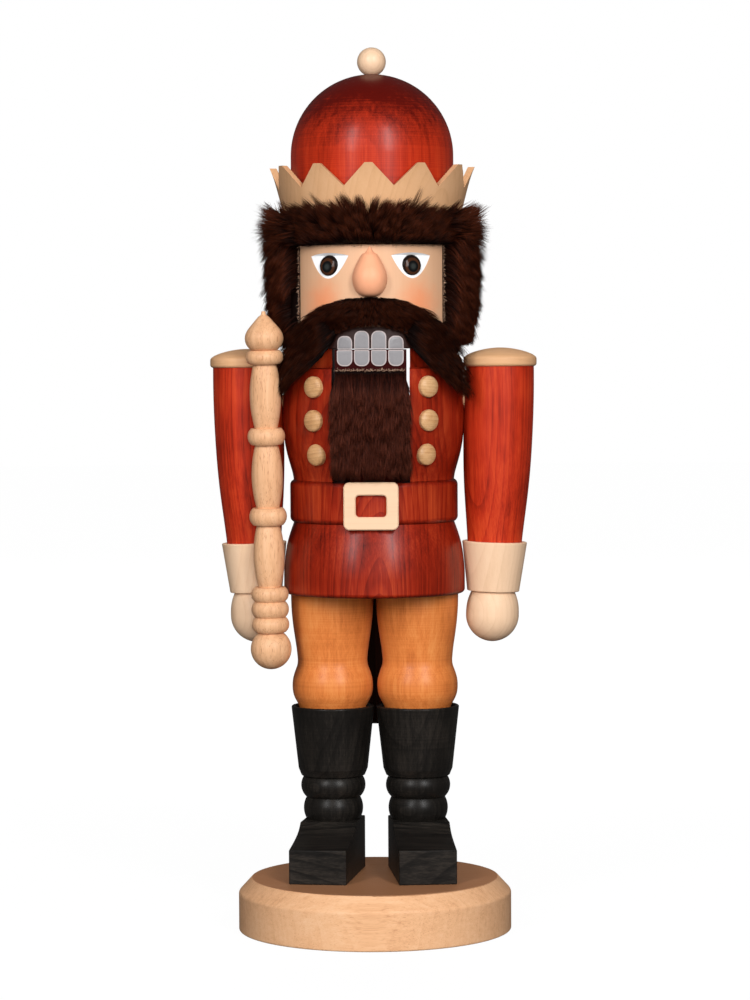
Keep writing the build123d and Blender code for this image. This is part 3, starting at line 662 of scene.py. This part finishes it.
def strand_faces(count, per_strand):
    """Triangles for strands of rings that end in a point, closed at the root."""
    faces = []
    for level in range(STRAND_RINGS - 1):
        for corner in range(CORNERS):
            a = level * CORNERS + corner
            b = level * CORNERS + (corner + 1) % CORNERS
            faces += [(a, b, b + CORNERS), (a, b + CORNERS, a + CORNERS)]
    last = (STRAND_RINGS - 1) * CORNERS
    faces += [(last + corner, last + (corner + 1) % CORNERS, per_strand - 1) for corner in range(CORNERS)]
    faces.append((2, 1, 0))
    return np.array(faces)[None] + (np.arange(count) * per_strand)[:, None, None]


class Pile:
    """One piece of fur: a pelt and the strands that grow from it."""

    def __init__(self, name, seed):
        self.name = name
        self.random = np.random.default_rng(seed)
        self.points = []
        self.faces = []
        self.maps = []
        self.count = 0

    def add(self, points, faces, maps):
        self.points.append(points)
        self.faces.append(faces + self.count)
        self.maps.append(maps)
        self.count += len(points)

    def pelt(self, outer, inner):
        """A closed slab between two grids of points, in the darkest colour: painted shade for the depth of
        the pile.
        """
        rows, columns = outer.shape[:2]
        points = np.concatenate([outer.reshape(-1, 3), inner.reshape(-1, 3)])
        index = np.arange(rows * columns).reshape(rows, columns)
        back = index + rows * columns
        front_quads = [index[:-1, :-1], index[:-1, 1:], index[1:, 1:], index[1:, :-1]]
        back_quads = [back[:-1, :-1], back[1:, :-1], back[1:, 1:], back[:-1, 1:]]
        rim = np.concatenate([index[0, :-1], index[:-1, -1], index[-1, :0:-1], index[:0:-1, 0]])
        following = np.roll(rim, -1)
        edge_quads = [rim, rim + rows * columns, following + rows * columns, following]
        quads = [np.stack(sides, axis=-1).reshape(-1, 4) for sides in (front_quads, back_quads, edge_quads)]
        quads = np.concatenate(quads)
        triangles = np.concatenate([quads[:, [0, 1, 2]], quads[:, [0, 2, 3]]])
        self.add(points, triangles, np.full((len(points), 2), 0.5 / SHADES))

    def strand_paths(self, roots, start, end, length, tuft, tufts, jitter):
        """Each strand's middle line, as points from root to tip."""
        count = len(roots)
        noise = self.random.normal(0, jitter, (count, 3))
        start = unit(start + noise * 0.7)
        end = unit(end + noise + self.random.normal(0, jitter * 0.5, (count, 3)))
        leaders = self.random.choice(count, min(tufts, count), replace=False)
        nearest = nearest_leader(roots, leaders)
        steps = np.linspace(0, 1, STRAND_RINGS + 1)
        first = (steps - steps**2 / 2)[None, :, None]
        second = (steps**2 / 2)[None, :, None]
        lean = start[:, None] * first + end[:, None] * second
        path = roots[:, None] + lean * (length * 1.15)[:, None, None]
        gather = tuft * steps[None, :, None] ** 1.4
        shared = path[nearest] + (roots - roots[nearest])[:, None] * 0.25
        return path * (1 - gather) + shared * gather

    def strands(self, roots, start, end, length, width, tuft, tufts, jitter):
        """Strands that leave along start and bend towards end. tuft is how far neighbours share a tip."""
        count = len(roots)
        path = self.strand_paths(roots, start, end, length, tuft, tufts, jitter)
        steps = np.linspace(0, 1, STRAND_RINGS + 1)[:-1]
        heading = unit(path[:, -1] - path[:, 0])
        side = unit(np.cross(heading, self.random.normal(0, 1, (count, 3))))
        across = np.cross(heading, side)
        turn = 2 * math.pi * np.arange(CORNERS) / CORNERS
        ring = side[:, None] * np.cos(turn)[None, :, None] + across[:, None] * np.sin(turn)[None, :, None]
        taper = (1 - steps**1.6) * 0.5
        tube = path[:, :-1, None] + ring[:, None] * (width[:, None, None, None] * taper[None, :, None, None])
        points = np.concatenate([tube.reshape(count, -1, 3), path[:, -1:]], axis=1)
        per_strand = points.shape[1]
        faces = strand_faces(count, per_strand)
        column = np.floor(self.random.beta(2.2, 2.2, count) * (SHADES - 1))
        u = np.repeat((column[:, None] + 0.5) / SHADES, per_strand, axis=1)
        spread = np.tile(np.array([-SHADE_SPREAD, 0.0, SHADE_SPREAD]), STRAND_RINGS)
        u[:, :-1] += spread[None] / SHADES
        v = np.repeat(np.concatenate([np.repeat(steps, CORNERS), [1.0]])[None], count, axis=0)
        maps = np.stack([u, v], axis=-1)
        self.add(points.reshape(-1, 3), faces.reshape(-1, 3), maps.reshape(-1, 2))

    def build(self, material):
        points = np.concatenate(self.points) * MM
        faces = np.concatenate(self.faces)
        maps = np.clip(np.concatenate(self.maps), 0.001, 0.999)
        mesh = bpy.data.meshes.new(self.name)
        mesh.vertices.add(len(points))
        mesh.vertices.foreach_set("co", points.ravel())
        mesh.loops.add(faces.size)
        mesh.loops.foreach_set("vertex_index", faces.ravel())
        mesh.polygons.add(len(faces))
        mesh.polygons.foreach_set("loop_start", np.arange(0, faces.size, 3))
        mesh.polygons.foreach_set("use_smooth", np.ones(len(faces), dtype=bool))
        layer = mesh.uv_layers.new(name=COLOUR_MAP)
        layer.data.foreach_set("uv", maps[faces.ravel()].ravel())
        mesh.update(calc_edges=True)
        mesh.materials.append(material)
        piece = bpy.data.objects.new(self.name, mesh)
        bpy.context.scene.collection.objects.link(piece)
        return piece


FACE_EDGE = 59.5  # the azimuth where the face gives way to the wig
PELT_BACK = 0.15  # a pelt's inner face, off the wood
PELT_TOP = 0.3  # between a pelt and the crown


def grid(azimuths, heights, radius):
    """Points round the head, a row of them for each azimuth."""
    around, up = np.meshgrid(azimuths, heights, indexing="ij")
    return on_wall(around, radius, up)


FRINGE_HALF = 64  # degrees to each side
FRINGE_PELT = 2.2
FRINGE_ROOTS = 1.9
FRINGE_STRANDS = 11500


def fringe(material):
    """The fur over the brow: it stands up against the crown and sweeps out at both sides."""
    pile = Pile("fur_fringe", 11)
    azimuths = np.radians(np.linspace(-FRINGE_HALF, FRINGE_HALF, 49))
    heights = np.linspace(BROW_Z + 0.2, CROWN_FOOT_Z - PELT_TOP, 7)
    pile.pelt(grid(azimuths, heights, HEAD_R + FRINGE_PELT), grid(azimuths, heights, HEAD_R + PELT_BACK))
    count = FRINGE_STRANDS
    azimuth = np.radians(pile.random.uniform(-FRINGE_HALF, FRINGE_HALF, count))
    height = BROW_Z + 0.3 + (CROWN_FOOT_Z - BROW_Z - 0.8) * pile.random.random(count)
    rise = (height - BROW_Z) / (CROWN_FOOT_Z - BROW_Z)
    out, around, up = wall_directions(azimuth)
    side = np.sin(azimuth)
    sweep = np.sign(side) * np.abs(side) ** 0.8
    start = out + around * (0.9 * sweep)[:, None] + up * (0.15 + 0.75 * rise)[:, None]
    end = out * 0.25 + around * (1.7 * sweep)[:, None] + up * (1.25 - 0.95 * np.abs(side))[:, None]
    length = pile.random.uniform(7.5, 15.0, count) * (0.75 + 0.35 * rise)
    width = pile.random.uniform(0.26, 0.44, count)
    roots = on_wall(azimuth, HEAD_R + FRINGE_ROOTS, height)
    pile.strands(roots, start, end, length, width, tuft=0.78, tufts=300, jitter=0.24)
    wisps(pile)
    return pile.build(material)


WISPS = 34
WISP_STRANDS = 14


def wisps(pile):
    """Loose pointed locks that stick out sideways at the fringe's two corners."""
    corner = np.where(np.arange(WISPS) % 2, 1.0, -1.0)
    lock_azimuth = np.radians(pile.random.uniform(46, FRINGE_HALF, WISPS)) * corner
    lock_height = BROW_Z + 2.0 + (CROWN_FOOT_Z - BROW_Z - 2.6) * pile.random.random(WISPS)
    lift = pile.random.uniform(-0.30, 0.85, WISPS)
    reach = pile.random.uniform(12.0, 17.0, WISPS)
    lock = np.repeat(np.arange(WISPS), WISP_STRANDS)
    count = len(lock)
    azimuth = lock_azimuth[lock] + pile.random.normal(0, 0.022, count)
    height = lock_height[lock] + pile.random.normal(0, 0.6, count)
    out, _, up = wall_directions(azimuth)
    aside = np.array([1.0, 0.0, 0.0]) * corner[lock, None]
    start = out * 0.6 + aside * 0.8 + up * lift[lock, None]
    end = out * 0.1 + aside + up * (1.1 * lift[lock, None])
    width = pile.random.uniform(0.34, 0.50, count)
    roots = on_wall(azimuth, HEAD_R + FRINGE_ROOTS, height)
    pile.strands(roots, start, end, reach[lock], width, tuft=0.7, tufts=WISPS, jitter=0.05)


WIG_SIDE_END = 122  # degrees from the front
WIG_BACK = (118, 242)
WIG_STRANDS = 11800
WIG_ROOT_DEPTH = 0.3  # how far roots sink into the wig's pelt


def past_face(azimuth):
    """How far round from the face's edge, in radians."""
    return np.abs(azimuth) - math.radians(FACE_EDGE)


def pelt_rise(azimuth):
    """The wig's pelt is thin along the face, where its cut edge is glued down."""
    return 0.5 + 2.1 * np.clip(past_face(azimuth) / 0.10, 0, 1)


def wig(name, seed, low, high, material, sceptre_room=False):
    """Fur down the side or the back of the head: it lies away from the face and down."""
    pile = Pile(name, seed)
    azimuths = np.radians(np.linspace(low, high, 33))
    heights = np.linspace(WIG_LOW_Z + 0.5, CROWN_FOOT_Z - PELT_TOP, 15)
    outer = grid(azimuths, heights, HEAD_R + pelt_rise(azimuths)[:, None])
    pile.pelt(outer, grid(azimuths, heights, HEAD_R + PELT_BACK))
    count = WIG_STRANDS
    azimuth = np.radians(pile.random.uniform(low, high, count))
    rise = pile.random.random(count)
    height = WIG_LOW_Z + 2.0 + (CROWN_FOOT_Z - WIG_LOW_Z - 3.0) * rise
    out, around, up = wall_directions(azimuth)
    away = np.where(azimuth > 0, 1.0, -1.0) * np.clip((math.pi - np.abs(azimuth)) / 0.5, 0, 1)
    away = away * np.clip(past_face(azimuth) / 0.12, -0.25, 1)
    roots = on_wall(azimuth, HEAD_R + pelt_rise(azimuth) - WIG_ROOT_DEPTH, height)
    top = np.clip((rise - 0.82) / 0.18, 0, 1)
    start = out * 1.25 + around * (0.55 * away)[:, None] + up * (-0.35 + 1.1 * top)[:, None]
    end = out * (0.35 - 0.75 * (1 - rise) ** 4)[:, None] + around * (0.55 * away)[:, None]
    end = end + up * (-1.1 + 1.7 * top)[:, None]
    length = pile.random.uniform(11.0, 17.0, count) * (1 - 0.30 * (1 - rise) ** 3)
    room = (roots[:, 2] - (WIG_LOW_Z - 0.5)) / 0.62
    length = np.minimum(length, np.maximum(room, 4.0))
    if sceptre_room:
        keep = ~near_sceptre(roots, start, end, length)
        roots, start, end, length = roots[keep], start[keep], end[keep], length[keep]
    width = pile.random.uniform(0.32, 0.52, len(roots))
    pile.strands(roots, start, end, length, width, tuft=0.62, tufts=560, jitter=0.15)
    return pile.build(material)


SCEPTRE_CLEAR = 9.6
SCEPTRE_CLEAR_ABOVE = 2.0


def near_sceptre(roots, start, end, length):
    """Which strands would reach the sceptre's head."""
    halfway = roots + unit(start) * (length * 0.5)[:, None]
    tip = roots + (unit(start) + unit(end)) / 2 * (length * 1.1)[:, None]
    line = np.array([SCEPTRE_TOP_X, SCEPTRE_TOP_Y])
    near = np.zeros(len(roots), dtype=bool)
    for points in (halfway, tip):
        gap = np.linalg.norm(points[:, :2] - line, axis=1)
        near |= (gap < SCEPTRE_CLEAR) & (points[:, 2] < SCEPTRE_TOP_Z + SCEPTRE_CLEAR_ABOVE)
    return near


MOUSTACHE_STRANDS = 11500
# The arch's middle line, from the nose outwards: azimuth in degrees, height above the mouth, half width
MOUSTACHE_LINE = np.array([(0, 17.2, 5.4), (13, 15.4, 6.4), (23, 13.2, 6.4),
                           (31, 7.2, 10.8), (44, 1.6, 11.4), (57, -4.0, 9.8)])
# It stands further off the head below, where it hangs over the coat. Heights above the mouth, and the
# distances off the head of its roots and of its pelt at those heights.
MOUSTACHE_LEVELS = (-8.0, -3.0, 3.0)
MOUSTACHE_ROOTS = (6.2, 5.2, 1.8)
MOUSTACHE_PELT = (4.9, 4.6, 0.2)


def on_moustache(places):
    """The middle line's azimuths, heights and half widths, at places counted along its points."""
    marks = np.arange(len(MOUSTACHE_LINE))
    return [np.interp(places, marks, column) for column in MOUSTACHE_LINE.T]


def moustache_pelt(pile, sign):
    """The pelt under one half of the moustache."""
    azimuth, up_at, half = on_moustache(np.linspace(0, len(MOUSTACHE_LINE) - 1, 41))
    around = np.radians(azimuth)[:, None] * sign
    height = MOUTH_Z + up_at[:, None] + np.linspace(-1, 1, 7)[None] * (half - 0.4)[:, None]
    lift = np.interp(height - MOUTH_Z, MOUSTACHE_LEVELS, MOUSTACHE_PELT)
    pile.pelt(on_wall(around, HEAD_R + 1.2 + lift, height), on_wall(around, HEAD_R + 0.1 + lift, height))


def moustache(material):
    """An arch of fur over the mouth, parted under the nose, that droops at both ends over the coat."""
    pile = Pile("fur_moustache", 31)
    count = MOUSTACHE_STRANDS
    reach = np.abs(pile.random.uniform(-1, 1, count))
    side = np.where(pile.random.random(count) < 0.5, -1.0, 1.0)
    azimuth, up_at, half = on_moustache(reach * (len(MOUSTACHE_LINE) - 1))
    across = pile.random.uniform(-1, 1, count)
    height = MOUTH_Z + up_at + across * half
    azimuth = np.radians(azimuth) * side
    shell = np.interp(height - MOUTH_Z, MOUSTACHE_LEVELS, MOUSTACHE_ROOTS)
    out, around, up = wall_directions(azimuth)
    roots = on_wall(azimuth, HEAD_R + shell * 0.9, height)
    spread = side * np.interp(reach, [0, 0.08, 0.3, 1.0], [0.05, 0.35, 0.95, 0.75])
    fall = np.interp(reach, [0, 0.15, 0.5, 1.0], [-0.9, -0.55, -0.85, -1.35])
    start = out * 0.85 + around * (0.7 * spread)[:, None] + up * (0.45 * fall + 0.30 * across)[:, None]
    end = out * 0.10 + around * spread[:, None] + up * fall[:, None]
    longer = np.interp(reach, [0, 0.2, 0.6, 1.0], [0.62, 0.95, 1.25, 1.45])
    length = pile.random.uniform(7.0, 12.0, count) * longer
    over_mouth = (np.abs(roots[:, 0]) < 15.5) & (across < 0.5)
    clear = np.where(np.abs(roots[:, 0]) < 9.0, 8.6, 7.2)
    length = np.where(over_mouth, np.minimum(length, height - MOUTH_Z - clear), length)
    length = np.maximum(length, 1.8)
    width = pile.random.uniform(0.24, 0.40, count)
    pile.strands(roots, start, end, length, width, tuft=0.60, tufts=420, jitter=0.13)
    for sign in (-1, 1):
        moustache_pelt(pile, sign)
    return pile.build(material)


BEARD_STRANDS = 11500
BEARD_HALF = LEVER_HALF - 0.4


def beard_grid(off_jaw):
    """Points over the beard's whole width and height, at one distance in front of the jaw."""
    across = np.linspace(-BEARD_HALF, BEARD_HALF, 21)
    down = np.linspace(BEARD_TOP_Z, BEARD_LOW_Z + 3.0, 15)
    x, z = np.meshgrid(across, down, indexing="ij")
    return np.stack([x, np.full_like(x, LEVER_FRONT_Y - off_jaw), z], axis=-1)


def beard(material):
    """Straight fur, glued along its top to the jaw's face, which hangs in front of the slot."""
    pile = Pile("fur_beard", 41)
    count = BEARD_STRANDS
    x = (BEARD_HALF - 0.2) * np.sin(pile.random.uniform(-0.5, 0.5, count) * math.pi)
    z = BEARD_TOP_Z - (BEARD_TOP_Z - BEARD_LOW_Z - 7.0) * pile.random.random(count) ** 1.25
    drop = BEARD_TOP_Z - z
    y = LEVER_FRONT_Y - 0.9 - np.minimum(drop / 6.0, 1.0)
    roots = np.stack([x, y, z], axis=-1)
    zero = np.zeros(count)
    aside = np.sign(x) * np.clip((np.abs(x) - BEARD_HALF + 3.6) / 3.0, 0, 1) * np.minimum(drop / 3.0, 1.0)
    start = np.stack([0.22 * aside, zero - 0.70, zero - 0.8], axis=-1)
    end = np.stack([0.07 * aside, zero + 0.04, zero - 1.0], axis=-1)
    length = np.minimum(pile.random.uniform(10.0, 17.0, count), z - BEARD_LOW_Z + 1.6)
    width = pile.random.uniform(0.24, 0.40, count)
    pile.strands(roots, start, end, length, width, tuft=0.55, tufts=320, jitter=0.11)
    pile.pelt(beard_grid(1.6), beard_grid(0.25))
    return pile.build(material)


def threads(name, seed, roots, out, along, material):
    """Frayed ends of the pelts' pale backing cloth."""
    pile = Pile(name, seed)
    count = len(roots)
    roots = roots + pile.random.normal(0, 0.16, roots.shape)
    length = pile.random.uniform(0.7, 1.7, count)
    width = pile.random.uniform(0.20, 0.34, count)
    pile.strands(roots, out, out * 0.3 + along, length, width, tuft=0.0, tufts=1, jitter=0.6)
    return pile.build(material)


def face_threads(material):
    """The threads round the face: under the fringe, and down both of the wig's front edges."""
    brow = np.radians(np.linspace(-57, 57, 260))
    rise = np.linspace(MOUTH_Z + 12.0, BROW_Z, 130)
    edge = np.full_like(rise, math.radians(FACE_EDGE))
    azimuth = np.concatenate([brow, -edge, edge])
    height = np.concatenate([np.full_like(brow, BROW_Z), rise, rise])
    out, around, up = wall_directions(azimuth)
    beside = np.abs(height - BROW_Z) > 0.01
    along = np.where(beside[:, None], -around * np.sign(azimuth)[:, None], -up)
    roots = on_wall(azimuth, HEAD_R + 0.6, height)
    return threads("fur_face_threads", 51, roots, out, along * 0.5, material)


def jaw_threads(material):
    """The threads along the beard's glued top edge."""
    x = np.linspace(-BEARD_HALF, BEARD_HALF, 190)
    roots = np.stack([x, np.full_like(x, LEVER_FRONT_Y - 1.2), np.full_like(x, BEARD_TOP_Z + 0.2)], axis=-1)
    out = np.tile(np.array([0.0, -1.0, 0.0]), (len(x), 1))
    along = np.tile(np.array([0.0, 0.0, 0.8]), (len(x), 1))
    return threads("fur_jaw_threads", 52, roots, out, along, material)


# Each fur's dark and light strands, and its lightest tips, lightened as painted highlight
DARK_FUR = ((0.0030, 0.0007, 0.0004), (0.034, 0.0068, 0.0028), (0.200, 0.046, 0.018))
DEEP_FUR = ((0.0008, 0.0002, 0.0001), (0.0085, 0.0016, 0.0007), (0.120, 0.026, 0.009))
LOOSE_FUR = ((0.0040, 0.0010, 0.0008), (0.060, 0.0125, 0.0070), (0.240, 0.062, 0.034))
BACKING_THREAD = ((0.30, 0.15, 0.09), (0.62, 0.40, 0.27), (0.80, 0.62, 0.48))


def add_fur():
    material = fur_colour("dark_fur", *DARK_FUR)
    deep = fur_colour("deep_fur", *DEEP_FUR)
    loose = fur_colour("loose_fur", *LOOSE_FUR)
    top = fringe(deep)
    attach(top, "figure")
    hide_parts("hair_fringe")
    sides = [
        wig("fur_wig_left", 21, FACE_EDGE, WIG_SIDE_END, material),
        wig("fur_wig_right", 22, -WIG_SIDE_END, -FACE_EDGE, material, sceptre_room=True),
        wig("fur_wig_back", 23, *WIG_BACK, material),
    ]
    for piece in sides:
        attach(piece, "figure")
        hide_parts("hair_wig")
    lip = moustache(deep)
    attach(lip, "figure")
    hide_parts("moustache")
    chin = beard(loose)
    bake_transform(chin)
    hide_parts("beard")
    thread = fur_colour("backing_thread", *BACKING_THREAD)
    seam = face_threads(thread)
    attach(seam, "figure")
    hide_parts("hair_fringe")
    seam = jaw_threads(thread)
    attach(seam, "jaw")
    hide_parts("beard")


# Teeth: thin plates with pale edges

TOOTH_DEPTH = 0.35
TOOTH_SWELL = 0.10  # how much further out the middle of a tooth stands
TOOTH_ROOT = -0.05  # its back, just inside the surface it is fixed to
TOOTH_ROUND = 0.42  # a corner's radius, as a share of the width
TOOTH_SHARP = 0.2  # the radius along the bite, as a share of that one
TOOTH_PITCH = 7.45
UPPER_TEETH = (5.6, 7.8, 7.8, 5.6)
UPPER_WIDTH = 6.6
UPPER_PAST = 0.3  # how far the upper teeth reach below the head
LOWER_TOOTH = 7.3
LOWER_WIDTH = 6.8
LOWER_SHORT = 0.25  # how far the lower teeth stay below the jaw's top
ENAMEL = ((0.225, 0.215, 0.225), (0.275, 0.262, 0.268))
ENAMEL_ROUGHNESS = 0.35
ENAMEL_EDGE = ((0.44, 0.37, 0.36), (0.50, 0.43, 0.42))
ENAMEL_EDGE_ROUGHNESS = 0.4


def tooth_outline(x, low, high, width, bites_up):
    """The corners are well rounded, but nearly sharp along the bite."""
    outline = []
    for first in (0, 90, 180, 270):
        at_top = first < 180
        sharpness = TOOTH_SHARP if at_top == bites_up else 1.0
        r = width * TOOTH_ROUND * sharpness
        side = 1 if first in (0, 270) else -1
        middle_x = x + (width / 2 - r) * side
        middle_z = high - r if at_top else low + r
        turns = np.radians(np.linspace(first, first + 90, 7))
        outline += [(middle_x + r * math.cos(t), middle_z + r * math.sin(t)) for t in turns]
    return outline


def tooth(name, x, low, high, width, wall, enamel, edge):
    """A thin painted plate. wall(x, z, depth) puts a point on the surface it is fixed to."""
    outline = tooth_outline(x, low, high, width, wall is on_jaw)
    size = len(outline)
    centre_z = (low + high) / 2
    # how far in from the outline each ring lies, and how far off the surface
    rings = ((0.0, TOOTH_ROOT), (0.08, TOOTH_DEPTH), (0.50, TOOTH_DEPTH), (1.6, TOOTH_DEPTH + TOOTH_SWELL))
    points, faces, slots = [], [], []
    for inset, depth in rings:
        for px, pz in outline:
            reach = math.hypot(px - x, pz - centre_z)
            keep = (reach - inset) / reach
            points.append(wall(x + (px - x) * keep, centre_z + (pz - centre_z) * keep, depth))
    for level in range(len(rings) - 1):
        for i in range(size):
            a = level * size + i
            b = level * size + (i + 1) % size
            faces.append((a, b, b + size, a + size))
            slots.append(0 if level < 2 else 1)
    last = (len(rings) - 1) * size
    faces.append(tuple(last + i for i in range(size)))
    slots.append(1)
    faces.append(tuple(reversed(range(size))))
    slots.append(0)
    mesh = bpy.data.meshes.new(name)
    mesh.from_pydata([tuple(c * MM for c in point) for point in points], [], faces)
    mesh.materials.append(edge)
    mesh.materials.append(enamel)
    mesh.polygons.foreach_set("material_index", slots)
    mesh.update()
    piece = bpy.data.objects.new(name, mesh)
    bpy.context.scene.collection.objects.link(piece)
    return piece


def on_head(x, z, depth):
    """The point that stands depth off the head's round front."""
    return (x, AXIS_Y - math.sqrt((HEAD_R + depth) ** 2 - x**2), z)


def on_jaw(x, z, depth):
    """The point that stands depth off the jaw's flat front."""
    return (x, LEVER_FRONT_Y - depth, z)


def add_teeth():
    enamel = plain_paint("enamel", *ENAMEL, ENAMEL_ROUGHNESS)
    edge = plain_paint("enamel_edge", *ENAMEL_EDGE, ENAMEL_EDGE_ROUGHNESS)
    for index, height in enumerate(UPPER_TEETH):
        x = (index - 1.5) * TOOTH_PITCH
        low, high = MOUTH_Z - UPPER_PAST, MOUTH_Z + height
        upper = tooth(f"tooth_upper_{index}", x, low, high, UPPER_WIDTH, on_head, enamel, edge)
        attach(upper, "figure")
        low, high = LEVER_TOP_Z - LOWER_TOOTH, LEVER_TOP_Z - LOWER_SHORT
        lower = tooth(f"tooth_lower_{index}", x, low, high, LOWER_WIDTH, on_jaw, enamel, edge)
        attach(lower, "jaw")


add_camera()
add_world()
add_softbox("key_left", -27, 24, (0.36, 1.2), 20)
add_softbox("key_right", 26, 24, (0.36, 1.2), 26)
add_softbox("front", 4, 8, (1.0, 1.4), 30, mirrored=False)
add_softbox("back", 180, 35, (0.9, 1.2), 17, mirrored=False)
add_floor()
dress_body()
dress_side("left", 1)
dress_side("right", -1)
dress_pale_wood()
dress_head()
dress(plated_steel(), "foot_screws")
add_teeth()
add_fur()

bpy.context.scene.view_settings.view_transform = "Standard"
